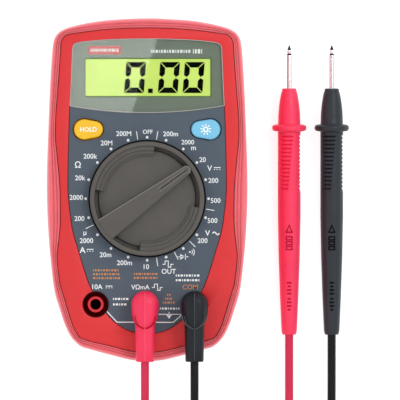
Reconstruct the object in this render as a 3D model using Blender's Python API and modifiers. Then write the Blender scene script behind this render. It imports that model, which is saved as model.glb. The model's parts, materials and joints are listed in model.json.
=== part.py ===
"""Palm-size digital multimeter in a rubber holster, with its two test leads.

The meter lies on its back. The origin is the centre of its footprint, +Z leaves the front face and
+Y points to the display end. Every length is in metres.
"""

import math

import bmesh
import bpy
from mathutils import Matrix, Vector

MM = 0.001
GAP = 0.3 * MM

# Left halves of the closed outlines in millimetres, from the top of the centre line to its bottom.
HOLSTER_HALF = [
    (0, 65.95), (-14.3, 65.3), (-22, 64.3), (-27.7, 63.1), (-31.6, 61.9), (-34.2, 60), (-35.6, 57.2),
    (-36.2, 51.7), (-37.1, 40.2), (-38, 22.9), (-38.5, 8), (-38.5, -4), (-38.1, -14), (-37.3, -25),
    (-35.7, -38.5), (-33.5, -46.2), (-31.6, -51.9), (-29.2, -56.6), (-25.8, -60), (-22, -61.3),
    (-14.3, -63.4), (-6.6, -65.3), (0, -65.95),
]
CASE_HALF = [
    (0, 62.5), (-14.3, 62), (-27.7, 60.2), (-31.4, 59), (-32.9, 56.5), (-33.2, 52), (-34.2, 38.3),
    (-35, 28), (-35.1, 20), (-34.4, 12.6), (-33.5, 3), (-33.2, -6), (-33.3, -14), (-34, -21),
    (-34.5, -26), (-33.5, -35.4), (-32.1, -40.4), (-28.9, -50.8), (-27.3, -54.4), (-24.6, -57.2),
    (-14.3, -59.8), (-6.6, -61.7), (0, -62.4),
]
FACE_HALF = [
    (0, 58.2), (-14.3, 57.9), (-24, 57.1), (-27.4, 56.4), (-28.7, 54.8), (-29, 49.8), (-29.5, 38.3),
    (-29.9, 30.6), (-30.4, 15.3), (-30.6, 1), (-30.1, -6), (-28.8, -15.5), (-26.6, -23.1),
    (-24.3, -30.8), (-21.4, -38.5), (-15.4, -48), (-11.2, -51.9), (-6.6, -54.4), (0, -55.6),
]
BOARD_OUTLINE = [
    (-30, -34), (-27, -44), (-24, -46), (24, -46), (27, -44), (30, -34), (30, 50), (25.5, 55.5),
    (-25.5, 55.5), (-30, 50),
]

# Heights of the shells and of what lies between them.
HOLSTER_TOP = 33.4 * MM
HOLSTER_BACK = 2.0 * MM
CASE_BACK = HOLSTER_BACK + GAP
CASE_WALL = 2.0 * MM
PARTING = 16.0 * MM
FACE_TOP = 32.0 * MM
FACE_FLOOR = 30.4 * MM
CEILING = 28.6 * MM
PANEL_TOP = 31.7 * MM
PANEL_LOW = FACE_FLOOR + GAP
BOARD_LOW = 22.0 * MM
BOARD_TOP = 23.6 * MM
UNDER_BOARD = BOARD_LOW - GAP
ON_BOARD = BOARD_TOP + GAP
BACK_LIP = 2.2 * MM

# The lens and the panel share one face outline, parted along a shallow arc.
ARC_RADIUS = 165.8 * MM
ARC_CENTRE = (0, 195.3 * MM)

# Display, all centred on the same point.
DISPLAY_CENTRE = (0.2 * MM, 43.1 * MM)
WINDOW_SIZE = (53.4 * MM, 19.4 * MM)
LCD_FRAME_SIZE = (57.2 * MM, 21.8 * MM)
STRIP_DEPTH = 3.0 * MM
LCD_LOW = 27.6 * MM
LCD_TOP = 29.9 * MM

# Selector.
DIAL_CENTRE = (0, -3.4 * MM)
POINTER_ANGLE = math.radians(36)
KNOB_RADIUS = 22.0 * MM
KNOB_TOP = 37.6 * MM
DIAL_HOLE = 22.6 * MM
SCOOP_RADIUS = 20.0 * MM
SCOOP_FLOOR = 33.6 * MM
BAR_TAIL = (-19.4 * MM, 4.65 * MM)
BAR_TIP = (19.9 * MM, 1.8 * MM)
SHAFT_RADIUS = 6.0 * MM
ROTOR_RADIUS = 16.4 * MM
ROTOR_LOW = 25.6 * MM
ROTOR_TOP = 27.4 * MM
DETENTS = 20
DETENT_CREST = 19.0 * MM
DETENT_OUTER = 21.5 * MM
BALL_RADIUS = 1.3 * MM
BALL_REACH = 17.3 * MM
NOTCH_DEPTH = 0.7 * MM
SPRING_FROM = 11.0 * MM
SPRING_RADII = (0.7 * MM, 1.1 * MM)
SPRING_RIDGES = 4
WIPER_LOW = 24.8 * MM

# Push buttons: a wide round end towards the side of the case and a narrower one towards the middle.
BUTTON_Y = 23.2 * MM
BUTTON_WIDE = (24.2 * MM, 4.05 * MM)
BUTTON_NARROW = (20.1 * MM, 3.3 * MM)
BUTTON_TOP = 33.1 * MM
BUTTON_FLANGE = 0.9 * MM
FLANGE_LOW = 27.2 * MM
FLANGE_TOP = 28.2 * MM
PLUNGER_LOW = 25.6 * MM

# Input jacks, 19 mm apart as standard banana jacks are.
JACK_Y = -44.0 * MM
JACK_X = {"10a": -19.8 * MM, "vohm": -0.8 * MM, "com": 18.2 * MM}
WELL_RADIUS = 4.8 * MM
WELL_OUTER = 5.7 * MM
WELL_LOW = 10.1 * MM
SOCKET_OUTER = 3.05 * MM
SOCKET_BORE = 2.35 * MM
SOCKET_TOP = 27.5 * MM

# Right-angle plugs.
BOOT_LOW = FACE_TOP + GAP
BOOT_TOP = 45.0 * MM
BOOT_RADIUS = 5.3 * MM
BOOT_END_Y = -66.0 * MM
TAIL_START_Y = -46.0 * MM
TAIL_Z = 40.2 * MM
TAIL_RADII = (3.9 * MM, 3.3 * MM)
SLEEVE_RADII = (4.4 * MM, 3.4 * MM)
SLEEVE_LOW = 12.5 * MM
PIN_RADIUS = 1.95 * MM
PIN_LOW = 11.5 * MM
PIN_TOP = 36.0 * MM

# Battery compartment and tilt stand on the back.
BATTERY_CENTRE = (1.0 * MM, -14.0 * MM)
BATTERY_BODY = (46.4 * MM, 26.5 * MM, 17.5 * MM)
BATTERY_LOW = 4.2 * MM
COVER_HALF_X = 28.2 * MM
COVER_Y = (-36.7 * MM, 0.7 * MM)
COVER_TAB = (5.0 * MM, 7.5 * MM)
COVER_TOP = 3.9 * MM
COVER_SCREW_Y = 4.4 * MM
STAND_HINGE = (53.0 * MM, 5.0 * MM)
STAND_END_Y = 14.0 * MM
STAND_HALF_X = 21.7 * MM
STAND_LOW = 2.5 * MM
BARREL_RADIUS = 2.3 * MM
HINGE_PIN_RADIUS = 1.0 * MM
HINGE_BORE = 1.3 * MM
POCKET_HALF_X = 22.3 * MM
POCKET_TOP = 5.4 * MM
HINGE_POCKET_TOP = 7.7 * MM

HINGE_BLOCK = (24.0 * MM, 57.0 * MM)
POCKET_ROOF = 7.2 * MM
HINGE_ROOF = 9.6 * MM
POCKET_END_Y = 55.8 * MM

# Screws are driven from the back. Each kind has its head's low and top heights, its head's radius, its
# own radius and its tip's height, in millimetres.
CASE_SCREWS = [(-21.5 * MM, -53.0 * MM), (21.5 * MM, -53.0 * MM)]
BOARD_SCREWS = [(-26.5 * MM, -31.0 * MM), (26.5 * MM, -31.0 * MM)]
SCREW_KINDS = {
    "case": (2.7, 4.4, 2.4, 1.1, 22.0),
    "board": (20.3, UNDER_BOARD / MM, 2.2, 0.95, 27.0),
    "battery_cover": (2.4, 2.9, 2.2, 1.0, 9.2),
}
SLOT_WIDTH = 0.7 * MM
CASE_BOSS = 3.0 * MM
REAR_BOSS = 3.2 * MM
BOARD_BOSS = 2.4 * MM
WIDE_HOLE = 1.5 * MM
NARROW_HOLE = 1.3 * MM
CASE_HOLE_TOP = 24.0 * MM
BOARD_HOLE_TOP = 27.6 * MM
CASE_HEAD_HOLE = (2.8 * MM, 4.7 * MM)
COVER_HEAD_HOLE = (2.6 * MM, 3.2 * MM)

# Parts on the board, which hang from it towards the back.
CHIP_LOW = (-20.0 * MM, 32.0 * MM, 19.6 * MM)
CHIP_CORNER = (-8.0 * MM, 44.0 * MM)
BUZZER_PLACE = (14.0 * MM, 36.0 * MM)
BUZZER_RADIUS = 6.0 * MM
BUZZER_LOW = 15.5 * MM
FUSE_CENTRE = (14.0 * MM, -32.6 * MM, 17.0 * MM)
FUSE_LENGTH = 20.0 * MM
FUSE_RADIUS = 2.6 * MM
FUSE_CAP = 5.5 * MM
CLIP_WIDTH = 3.6 * MM
CLIP_DEPTH = 7.0 * MM
CLIP_MOUTH = 4.0 * MM

# Test leads: 3.2 mm flexible cable, wound into one round coil of two layers each.
LEAD_RADIUS = 1.6 * MM
LEAD_STEP = 8.0 * MM
COIL_OUTER = 23.2 * MM
COIL_INNER = 11.4 * MM
COIL_LOW = 0.7 * MM
COIL_TOP = 7.3 * MM
COIL_CENTRES = {"red": (19.0, -145.0), "black": (74.0, -145.0)}

# Routes in millimetres: from the plug to the coil, and from the coil to the probe.
ROUTES = {
    "red_lead_from_plug": [
        (-0.8, -66.3, 40.2), (-0.8, -72, 40.2), (-0.8, -80, 39.4), (-0.8, -90, 35), (-0.9, -99, 27),
        (-1.2, -107, 17.3), (-1.6, -115, 8.6), (-2, -123.5, 3), (-2.4, -131.5, 1.7),
    ],
    "red_lead_to_probe": [
        (44.1, -142.2, 5.9), (48.2, -133.3, 6.2), (52, -123.5, 4.4), (54.1, -113, 2.2),
        (54.7, -102, 1.65), (54.7, -88, 1.65), (54.7, -74, 1.65), (54.7, -64, 2.1), (54.7, -56.1, 2.75),
    ],
    "black_lead_from_plug": [
        (18.2, -66.3, 40.2), (18.2, -72, 40.2), (18.2, -80, 39.4), (18.3, -89, 35.2), (18.8, -97, 28),
        (20.4, -104.5, 18.5), (23.8, -111.5, 9.4), (29.5, -118, 3.4), (37, -123.5, 1.65),
        (44, -128.6, 1.65), (49, -134, 1.65),
    ],
    "black_lead_to_probe": [
        (83.4, -121.5, 5.2), (77.5, -114.5, 3), (73.2, -106, 1.8), (71.4, -96, 1.65),
        (71.1, -85, 1.65), (71.1, -74, 1.65), (71.1, -64, 2.1), (71.1, -56.1, 2.75),
    ],
}

# Probes: each lies on its finger flange and its tail.
PROBE_X = {"red": 54.7 * MM, "black": 71.1 * MM}
PROBE_TAIL = (-55.8 * MM, 2.8 * MM)
PROBE_LENGTH = 95.0 * MM
FLANGE_RADIUS = 6.65 * MM
FLANGE_FROM_TAIL = 79.8 * MM
PROBE_TILT = math.asin((FLANGE_RADIUS - PROBE_TAIL[1]) / FLANGE_FROM_TAIL)
NEEDLE_TIP = 111.2 * MM
NEEDLE_RADIUS = 0.9 * MM
NEEDLE_SOCKET = 82.0 * MM

COLOURS = {
    "red_rubber": ((0.80, 0.10, 0.13), 0.55, 0.0),
    "red_plastic": ((0.78, 0.06, 0.06), 0.35, 0.0),
    "slate_plastic": ((0.10, 0.12, 0.15), 0.5, 0.0),
    "clear_plastic": ((0.35, 0.40, 0.36), 0.08, 0.0),
    "lcd_glass": ((0.50, 0.80, 0.10), 0.2, 0.0),
    "white_plastic": ((0.85, 0.85, 0.82), 0.4, 0.0),
    "knob_plastic": ((0.10, 0.096, 0.09), 0.45, 0.0),
    "yellow_rubber": ((1.00, 0.58, 0.02), 0.45, 0.0),
    "blue_rubber": ((0.20, 0.60, 1.00), 0.45, 0.0),
    "black_plastic": ((0.02, 0.02, 0.022), 0.45, 0.0),
    "green_board": ((0.02, 0.22, 0.08), 0.4, 0.0),
    "brass": ((0.80, 0.60, 0.25), 0.3, 1.0),
    "steel": ((0.65, 0.65, 0.67), 0.3, 1.0),
    "glass": ((0.75, 0.80, 0.82), 0.05, 0.0),
    "battery_wrap": ((0.06, 0.07, 0.10), 0.3, 0.3),
    "plug_red": ((0.90, 0.04, 0.12), 0.4, 0.0),
    "lead_red": ((0.70, 0.03, 0.08), 0.4, 0.0),
    "lead_black": ((0.02, 0.02, 0.02), 0.4, 0.0),
}

parts = None
cutters = None


# ---------------------------------------------------------------- helpers

def clear_scene():
    for obj in list(bpy.data.objects):
        bpy.data.objects.remove(obj, do_unlink=True)


def new_collection(name):
    collection = bpy.data.collections.new(name)
    bpy.context.scene.collection.children.link(collection)
    return collection


def material(name):
    found = bpy.data.materials.get(name)
    if found:
        return found
    made = bpy.data.materials.new(name)
    made.use_nodes = True
    colour, roughness, metallic = COLOURS[name]
    shader = made.node_tree.nodes["Principled BSDF"]
    shader.inputs["Base Color"].default_value = (*colour, 1)
    shader.inputs["Roughness"].default_value = roughness
    shader.inputs["Metallic"].default_value = metallic
    made.diffuse_color = (*colour, 1)
    return made


def add_part(name, mesh, finish, at=(0, 0, 0), parent=None):
    """A node of the model: its mesh is local to the place it is put at."""
    mesh.materials.append(material(finish))
    obj = bpy.data.objects.new(name, mesh)
    parts.objects.link(obj)
    obj.location = at
    obj.parent = parent
    return obj


def add_helper(mesh, at=(0, 0, 0), parent=None):
    """A solid that only cuts or joins another one."""
    obj = bpy.data.objects.new("helper", mesh)
    cutters.objects.link(obj)
    obj.location = at
    obj.parent = parent
    obj.hide_render = True
    obj.display_type = "WIRE"
    return obj


def combine(target, helper, operation):
    modifier = target.modifiers.new(operation.lower(), "BOOLEAN")
    modifier.operation = operation
    modifier.object = helper
    modifier.solver = "EXACT"


def cut(target, mesh, at=(0, 0, 0), parent=None):
    combine(target, add_helper(mesh, at, parent), "DIFFERENCE")


def join(target, mesh, at=(0, 0, 0), parent=None):
    combine(target, add_helper(mesh, at, parent), "UNION")


def round_edges(obj, width, segments=2):
    modifier = obj.modifiers.new("rounded", "BEVEL")
    modifier.width = width
    modifier.segments = segments
    modifier.limit_method = "ANGLE"
    modifier.angle_limit = math.radians(40)


def finish_mesh(bm, name, smooth=True):
    bmesh.ops.recalc_face_normals(bm, faces=bm.faces)
    mesh = bpy.data.meshes.new(name)
    bm.to_mesh(mesh)
    bm.free()
    if smooth:
        mesh.shade_smooth()
        mesh.set_sharp_from_angle(angle=math.radians(35))
    return mesh


def box(low, high):
    bm = bmesh.new()
    size = Vector(high) - Vector(low)
    centre = (Vector(high) + Vector(low)) / 2
    bmesh.ops.create_cube(bm, size=1, matrix=Matrix.Translation(centre) @ Matrix.Diagonal((*size, 1)))
    return finish_mesh(bm, "box", smooth=False)


def cylinder(radius, low, high, sides=24, top_radius=None, centre=(0, 0)):
    bm = bmesh.new()
    bmesh.ops.create_cone(
        bm, cap_ends=True, segments=sides, radius1=radius,
        radius2=radius if top_radius is None else top_radius, depth=high - low,
        matrix=Matrix.Translation((centre[0], centre[1], (low + high) / 2)),
    )
    return finish_mesh(bm, "cylinder")


def lay_along(mesh, axis):
    """Turns a mesh made along +Z so that it runs along +X or -Y."""
    turn = Matrix.Rotation(math.pi / 2, 4, "Y" if axis == "X" else "X")
    mesh.transform(turn)
    return mesh


def turned(name, profile, finish, at=(0, 0, 0), parent=None, steps=24, closed=False):
    """A turned solid. Its profile of (radius, height) runs down the outer side, top to bottom."""
    mesh = bpy.data.meshes.new(name)
    edges = [(i, i + 1) for i in range(len(profile) - 1)]
    if closed:
        edges.append((len(profile) - 1, 0))
    mesh.from_pydata([(radius, 0, height) for radius, height in profile], edges, [])
    obj = add_part(name, mesh, finish, at, parent)
    screw = obj.modifiers.new("turned", "SCREW")
    screw.axis = "Z"
    screw.angle = 2 * math.pi
    screw.steps = steps
    screw.render_steps = steps
    screw.use_merge_vertices = True
    screw.merge_threshold = 0.00001
    screw.use_smooth_shade = False
    return obj


def catmull_rom(a, b, c, d, t):
    return 0.5 * (2 * b + (c - a) * t + (2 * a - 5 * b + 4 * c - d) * t**2 + (3 * b - a - 3 * c + d) * t**3)


def closed_outline(half, grow=0.0, per_span=1):
    """Smooth closed outline through a left half and its mirror image, grown outwards by a distance."""
    ring = [Vector(point) * MM for point in half]
    ring += [Vector((-point[0], point[1])) * MM for point in reversed(half[1:-1])]
    count = len(ring)
    fine = []
    for i in range(count):
        around = [ring[(i + k) % count] for k in (-1, 0, 1, 2)]
        fine += [catmull_rom(*around, k / per_span) for k in range(per_span)]
    grown = []
    for i, point in enumerate(fine):
        along = (fine[(i + 1) % len(fine)] - fine[i - 1]).normalized()
        grown.append(point + Vector((along.y, -along.x)) * grow)
    return grown


def circle(radius, centre=(0, 0), count=48):
    turns = [2 * math.pi * i / count for i in range(count)]
    return [Vector((centre[0] + radius * math.cos(a), centre[1] + radius * math.sin(a))) for a in turns]


def plate(outline, low, high, holes=()):
    """Solid between two heights with a flat outline and holes, from a filled 2D curve."""
    curve = bpy.data.curves.new("outline", "CURVE")
    curve.dimensions = "2D"
    curve.fill_mode = "BOTH"
    curve.extrude = (high - low) / 2
    for loop in [outline, *holes]:
        spline = curve.splines.new("POLY")
        spline.points.add(len(loop) - 1)
        for point, place in zip(spline.points, loop):
            point.co = (place[0], place[1], 0, 1)
        spline.use_cyclic_u = True
    guide = bpy.data.objects.new("outline", curve)
    bpy.context.scene.collection.objects.link(guide)
    bpy.context.view_layer.update()
    graph = bpy.context.evaluated_depsgraph_get()
    flat = bpy.data.meshes.new_from_object(guide.evaluated_get(graph))
    bm = bmesh.new()
    bm.from_mesh(flat)
    bmesh.ops.remove_doubles(bm, verts=bm.verts, dist=0.000001)
    bmesh.ops.translate(bm, verts=bm.verts, vec=(0, 0, (low + high) / 2))
    bpy.data.objects.remove(guide)
    bpy.data.curves.remove(curve)
    return finish_mesh(bm, "plate")


def to_metres(points):
    return [Vector(point) * MM for point in points]


def smooth_route(points, spacing):
    """Points about one spacing apart on a smooth curve through a route's own points."""
    places = to_metres(points)
    ends = [2 * places[0] - places[1], *places, 2 * places[-1] - places[-2]]
    fine = []
    for i in range(1, len(ends) - 2):
        parts_of_span = max(1, round((ends[i + 1] - ends[i]).length / spacing))
        around = ends[i - 1:i + 3]
        fine += [catmull_rom(*around, k / parts_of_span) for k in range(parts_of_span)]
    return fine + [places[-1]]


def wire(name, points, radius, finish, spacing):
    curve = bpy.data.curves.new(name, "CURVE")
    curve.dimensions = "3D"
    curve.bevel_depth = radius
    curve.bevel_resolution = 2
    curve.use_fill_caps = True
    route = smooth_route(points, spacing)
    spline = curve.splines.new("POLY")
    spline.points.add(len(route) - 1)
    for point, place in zip(spline.points, route):
        point.co = (*place, 1)
    curve.materials.append(material(finish))
    obj = bpy.data.objects.new(name, curve)
    parts.objects.link(obj)
    return obj


# ---------------------------------------------------------------- shells

def make_holster():
    holster = add_part("holster", plate(closed_outline(HOLSTER_HALF), 0, HOLSTER_TOP), "red_rubber")
    round_edges(holster, 1.6 * MM, 1)
    cavity = plate(closed_outline(CASE_HALF, GAP), HOLSTER_BACK, HOLSTER_TOP + MM)
    cut(holster, cavity)
    window = plate(closed_outline(CASE_HALF, -BACK_LIP), -MM, HOLSTER_BACK + MM)
    cut(holster, window)


def button_outline(side, grow=0.0):
    """Outline round a button's two round ends; side is -1 for the left button and +1 for the right."""
    wide_x, wide = BUTTON_WIDE
    narrow_x, narrow = BUTTON_NARROW
    tangent = math.acos((wide - narrow) / (wide_x - narrow_x))
    points = []
    for i in range(13):
        angle = tangent + (2 * math.pi - 2 * tangent) * i / 12
        points.append((wide_x - (wide + grow) * math.cos(angle), (wide + grow) * math.sin(angle)))
    for i in range(9):
        angle = -tangent + 2 * tangent * i / 8
        points.append((narrow_x - (narrow + grow) * math.cos(angle), (narrow + grow) * math.sin(angle)))
    centre_x = (wide_x + narrow_x) / 2
    return [Vector((side * (x - centre_x), y)) for x, y in points]


def button_place(side):
    return (side * (BUTTON_WIDE[0] + BUTTON_NARROW[0]) / 2, BUTTON_Y)


def rectangle(centre, size):
    half_x, half_y = size[0] / 2, size[1] / 2
    corners = [(-half_x, -half_y), (half_x, -half_y), (half_x, half_y), (-half_x, half_y)]
    return [Vector((centre[0] + x, centre[1] + y)) for x, y in corners]


def make_front_case():
    case = add_part("front_case", plate(closed_outline(CASE_HALF), PARTING, FACE_TOP), "red_plastic")
    cut(case, plate(closed_outline(CASE_HALF, -CASE_WALL), PARTING - MM, CEILING))
    for x in JACK_X.values():
        join(case, cylinder(WELL_OUTER, WELL_LOW, FACE_FLOOR - 0.5 * MM, centre=(x, JACK_Y)))
    for place in CASE_SCREWS:
        join(case, cylinder(CASE_BOSS, PARTING, CEILING + MM, centre=place))
        cut(case, cylinder(WIDE_HOLE, PARTING - MM, CASE_HOLE_TOP, sides=16, centre=place))
    for place in BOARD_SCREWS:
        join(case, cylinder(BOARD_BOSS, ON_BOARD, CEILING + MM, centre=place))
        cut(case, cylinder(NARROW_HOLE, ON_BOARD - MM, BOARD_HOLE_TOP, sides=16, centre=place))
    cut(case, plate(closed_outline(FACE_HALF, 0, 2), FACE_FLOOR, FACE_TOP + MM))
    for x in JACK_X.values():
        cut(case, cylinder(WELL_RADIUS, WELL_LOW - MM, FACE_TOP + MM, centre=(x, JACK_Y)))
    cut(case, cylinder(SHAFT_RADIUS + 0.4 * MM, CEILING - MM, FACE_TOP + MM, centre=DIAL_CENTRE))
    cut(case, plate(rectangle(DISPLAY_CENTRE, WINDOW_SIZE), CEILING - MM, FACE_TOP + MM))
    for side in (-1, 1):
        hole = plate(button_outline(side, 0.35 * MM), CEILING - MM, FACE_TOP + MM)
        cut(case, hole, (*button_place(side), 0))


def make_rear_case():
    case = add_part("rear_case", plate(closed_outline(CASE_HALF), CASE_BACK, PARTING - GAP), "red_plastic")
    floor_top = CASE_BACK + CASE_WALL
    cut(case, plate(closed_outline(CASE_HALF, -CASE_WALL), floor_top, PARTING))
    head_radius, head_depth = CASE_HEAD_HOLE
    for place in CASE_SCREWS:
        join(case, cylinder(REAR_BOSS, floor_top - MM, PARTING - GAP, centre=place))
        cut(case, cylinder(WIDE_HOLE, CASE_BACK - MM, PARTING + MM, sides=16, centre=place))
        cut(case, cylinder(head_radius, CASE_BACK - MM, head_depth, centre=place))
    make_stand_pocket(case)
    make_battery_bay(case)


def make_stand_pocket(case):
    """Recess for the folded stand, with a deeper end and a bore for its hinge."""
    block_x, block_y = HINGE_BLOCK
    floor = CASE_BACK + 0.7 * MM
    hinge_y = STAND_HINGE[0]
    join(case, box((-block_x, STAND_END_Y - 2.5 * MM, floor), (block_x, block_y, POCKET_ROOF)))
    join(case, box((-block_x, hinge_y - 5 * MM, floor), (block_x, block_y, HINGE_ROOF)))
    shallow = box((-POCKET_HALF_X, STAND_END_Y - MM, 0), (POCKET_HALF_X, POCKET_END_Y, POCKET_TOP))
    cut(case, shallow)
    deep_y = hinge_y - BARREL_RADIUS - 3 * GAP
    deep = box((-POCKET_HALF_X, deep_y, 0), (POCKET_HALF_X, POCKET_END_Y, HINGE_POCKET_TOP))
    cut(case, deep)
    bore = lay_along(cylinder(HINGE_BORE, -block_x - MM, block_x + MM), "X")
    cut(case, bore, (0, *STAND_HINGE))


def make_battery_bay(case):
    """Opening for the battery, with a post and a seat for the cover's screw."""
    low_y, high_y = COVER_Y
    tab_x, tab_y = COVER_TAB
    join(case, box((-8 * MM, high_y - GAP, CASE_BACK + 0.7 * MM), (8 * MM, tab_y + 2.5 * MM, 11 * MM)))
    opening = box((-COVER_HALF_X - GAP, low_y - GAP, 0), (COVER_HALF_X + GAP, high_y + GAP, 12 * MM))
    cut(case, opening)
    cut(case, box((-tab_x - GAP, 0, 0), (tab_x + GAP, tab_y + GAP, COVER_TOP + GAP)))
    cut(case, cylinder(NARROW_HOLE, 0, 10 * MM, sides=16, centre=(0, COVER_SCREW_Y)))


def make_battery_cover():
    low = (-COVER_HALF_X, COVER_Y[0], CASE_BACK)
    cover = add_part("battery_cover", box(low, (COVER_HALF_X, COVER_Y[1], COVER_TOP)), "red_plastic")
    tab_x, tab_y = COVER_TAB
    join(cover, box((-tab_x, COVER_Y[1] - MM, CASE_BACK), (tab_x, tab_y, COVER_TOP)))
    head_radius, head_depth = COVER_HEAD_HOLE
    cut(cover, cylinder(WIDE_HOLE, 0, COVER_TOP + MM, sides=16, centre=(0, COVER_SCREW_Y)))
    cut(cover, cylinder(head_radius, 0, head_depth, centre=(0, COVER_SCREW_Y)))


def make_face():
    panel = add_part("front_panel", plate(closed_outline(FACE_HALF, -GAP, 2), PANEL_LOW, PANEL_TOP),
                     "slate_plastic")
    arc = cylinder(ARC_RADIUS + GAP / 2, PANEL_LOW - MM, PANEL_TOP + MM, sides=256, centre=ARC_CENTRE)
    cut(panel, arc)
    cut(panel, cylinder(DIAL_HOLE, PANEL_LOW - MM, PANEL_TOP + MM, sides=64, centre=DIAL_CENTRE))
    for side in (-1, 1):
        hole = plate(button_outline(side, 0.4 * MM), PANEL_LOW - MM, PANEL_TOP + MM)
        cut(panel, hole, (*button_place(side), 0))
    for x in JACK_X.values():
        cut(panel, cylinder(WELL_RADIUS, PANEL_LOW - MM, PANEL_TOP + MM, centre=(x, JACK_Y)))

    lens = add_part("display_lens", plate(closed_outline(FACE_HALF, -GAP, 2), PANEL_LOW, FACE_TOP),
                    "clear_plastic")
    inside = cylinder(ARC_RADIUS - GAP / 2, PANEL_LOW - MM, FACE_TOP + MM, sides=256, centre=ARC_CENTRE)
    combine(lens, add_helper(inside), "INTERSECT")


# ---------------------------------------------------------------- display and board

def make_display():
    x, y = DISPLAY_CENTRE
    frame = plate(rectangle((x, y), LCD_FRAME_SIZE), ON_BOARD, CEILING - GAP,
                  holes=[rectangle((x, y), WINDOW_SIZE)])
    add_part("lcd_frame", frame, "white_plastic")
    half_x, half_y = WINDOW_SIZE[0] / 2 - GAP, WINDOW_SIZE[1] / 2 - GAP
    glass = box((x - half_x, y - half_y, LCD_LOW), (x + half_x, y + half_y, LCD_TOP))
    add_part("lcd_panel", glass, "lcd_glass")
    strip_top = y - half_y + STRIP_DEPTH
    strip = box((x - half_x, y - half_y, ON_BOARD), (x + half_x, strip_top, LCD_LOW - GAP))
    add_part("zebra_strip", strip, "black_plastic")
    light = box((x - half_x, strip_top + GAP, ON_BOARD), (x + half_x, y + half_y, LCD_LOW - GAP))
    add_part("backlight_panel", light, "white_plastic")


def make_board():
    board = add_part("main_board", plate(to_metres(BOARD_OUTLINE), BOARD_LOW, BOARD_TOP), "green_board")
    for x in JACK_X.values():
        cut(board, cylinder(WELL_OUTER + GAP, BOARD_LOW - MM, BOARD_TOP + MM, centre=(x, JACK_Y)))
    for place in BOARD_SCREWS:
        cut(board, cylinder(NARROW_HOLE, BOARD_LOW - MM, BOARD_TOP + MM, sides=16, centre=place))
    chip = add_part("measuring_chip", box(CHIP_LOW, (*CHIP_CORNER, UNDER_BOARD)), "black_plastic")
    round_edges(chip, 0.4 * MM, 1)
    add_part("buzzer", cylinder(BUZZER_RADIUS, BUZZER_LOW, UNDER_BOARD, centre=BUZZER_PLACE), "black_plastic")


def make_screw(name, kind, place):
    """A slotted screw driven towards +Z, with its head at the back."""
    head_low, head_top, head_radius, radius, tip = [size * MM for size in SCREW_KINDS[kind]]
    profile = [
        (0, tip), (radius / 2, tip), (radius, tip - 1.2 * MM), (radius, head_top), (head_radius, head_top),
        (head_radius, head_low + 0.4 * MM), (head_radius - 0.6 * MM, head_low), (0, head_low),
    ]
    screw = turned(name, profile, "steel", (*place, 0), steps=14)
    slot_x = head_radius * 0.7
    slot_top = head_low + 0.6 * (head_top - head_low)
    slot = box((-slot_x, -SLOT_WIDTH / 2, head_low - MM), (slot_x, SLOT_WIDTH / 2, slot_top))
    cut(screw, slot, (*place, 0))


def make_fasteners():
    for number, place in enumerate(CASE_SCREWS, 1):
        make_screw(f"case_screw_{number}", "case", place)
    for number, place in enumerate(BOARD_SCREWS, 1):
        make_screw(f"board_screw_{number}", "board", place)
    make_screw("battery_cover_screw", "battery_cover", (0, COVER_SCREW_Y))


def make_fuse():
    """A tube fuse along X, between two spring clips that hang from the board."""
    x, y, z = FUSE_CENTRE
    half = FUSE_LENGTH / 2
    tube = FUSE_RADIUS - 0.2 * MM
    cap_end = half - FUSE_CAP
    profile = [
        (0, half), (FUSE_RADIUS, half), (FUSE_RADIUS, cap_end), (tube, cap_end),
        (tube, -cap_end), (FUSE_RADIUS, -cap_end), (FUSE_RADIUS, -half), (0, -half),
    ]
    fuse = turned("fuse", profile, "glass", (x, y, z))
    fuse.rotation_euler = (0, math.pi / 2, 0)
    half_clip, half_depth, half_mouth = CLIP_WIDTH / 2, CLIP_DEPTH / 2, CLIP_MOUTH / 2
    for name, side in (("fuse_clip_left", -1), ("fuse_clip_right", 1)):
        middle = x + side * (half - FUSE_CAP / 2)
        low = (middle - half_clip, y - half_depth, z - FUSE_RADIUS)
        clip = add_part(name, box(low, (middle + half_clip, y + half_depth, UNDER_BOARD)), "brass")
        seat = lay_along(cylinder(FUSE_RADIUS + GAP, -CLIP_WIDTH, CLIP_WIDTH), "X")
        cut(clip, seat, (middle, y, z))
        mouth_low = (middle - CLIP_WIDTH, y - half_mouth, z - 2 * FUSE_RADIUS)
        cut(clip, box(mouth_low, (middle + CLIP_WIDTH, y + half_mouth, z)))


def make_shunt():
    low, left, right, y = 15.6, -22, -8, -33
    top = UNDER_BOARD / MM
    points = [(left, y, top), (left, y, 18.6), (left + 2, y, low + 0.6), (-15, y, low),
              (right - 2, y, low + 0.6), (right, y, 18.6), (right, y, top)]
    wire("shunt_wire", points, 0.8 * MM, "brass", 1.6 * MM)


def make_battery():
    x, y = BATTERY_CENTRE
    half = Vector(BATTERY_BODY) / 2
    middle = BATTERY_LOW + half.z
    battery = add_part("battery", box((x - half.x, y - half.y, BATTERY_LOW),
                                      (x + half.x, y + half.y, BATTERY_LOW + 2 * half.z)), "battery_wrap")
    round_edges(battery, 1.5 * MM)
    for offset, radius in ((-6.35 * MM, 2.8 * MM), (6.35 * MM, 3.6 * MM)):
        terminal = lay_along(cylinder(radius, -2.1 * MM, MM, sides=16), "X")
        join(battery, terminal, (x - half.x, y + offset, middle))
    face = x - half.x - 2.1 * MM - GAP
    snap = box((face - 2.2 * MM, y - 12 * MM, middle - 6 * MM), (face, y + 12 * MM, middle + 6 * MM))
    round_edges(add_part("battery_snap", snap, "black_plastic"), 0.6 * MM, 1)
    start = (face - 2.2 * MM - GAP) / MM
    for colour, offset in (("red", 4), ("black", -1)):
        from_y = y / MM + offset
        points = [(start, from_y, 13), (start - 1.3, from_y + 0.8, 13.5), (start - 1.5, from_y + 3, 15.5),
                  (start - 1.2, from_y + 6, 18), (start - 0.8, from_y + 7.5, UNDER_BOARD / MM)]
        wire(f"battery_wire_{colour}", points, 0.55 * MM, f"lead_{colour}", 1.4 * MM)


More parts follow.
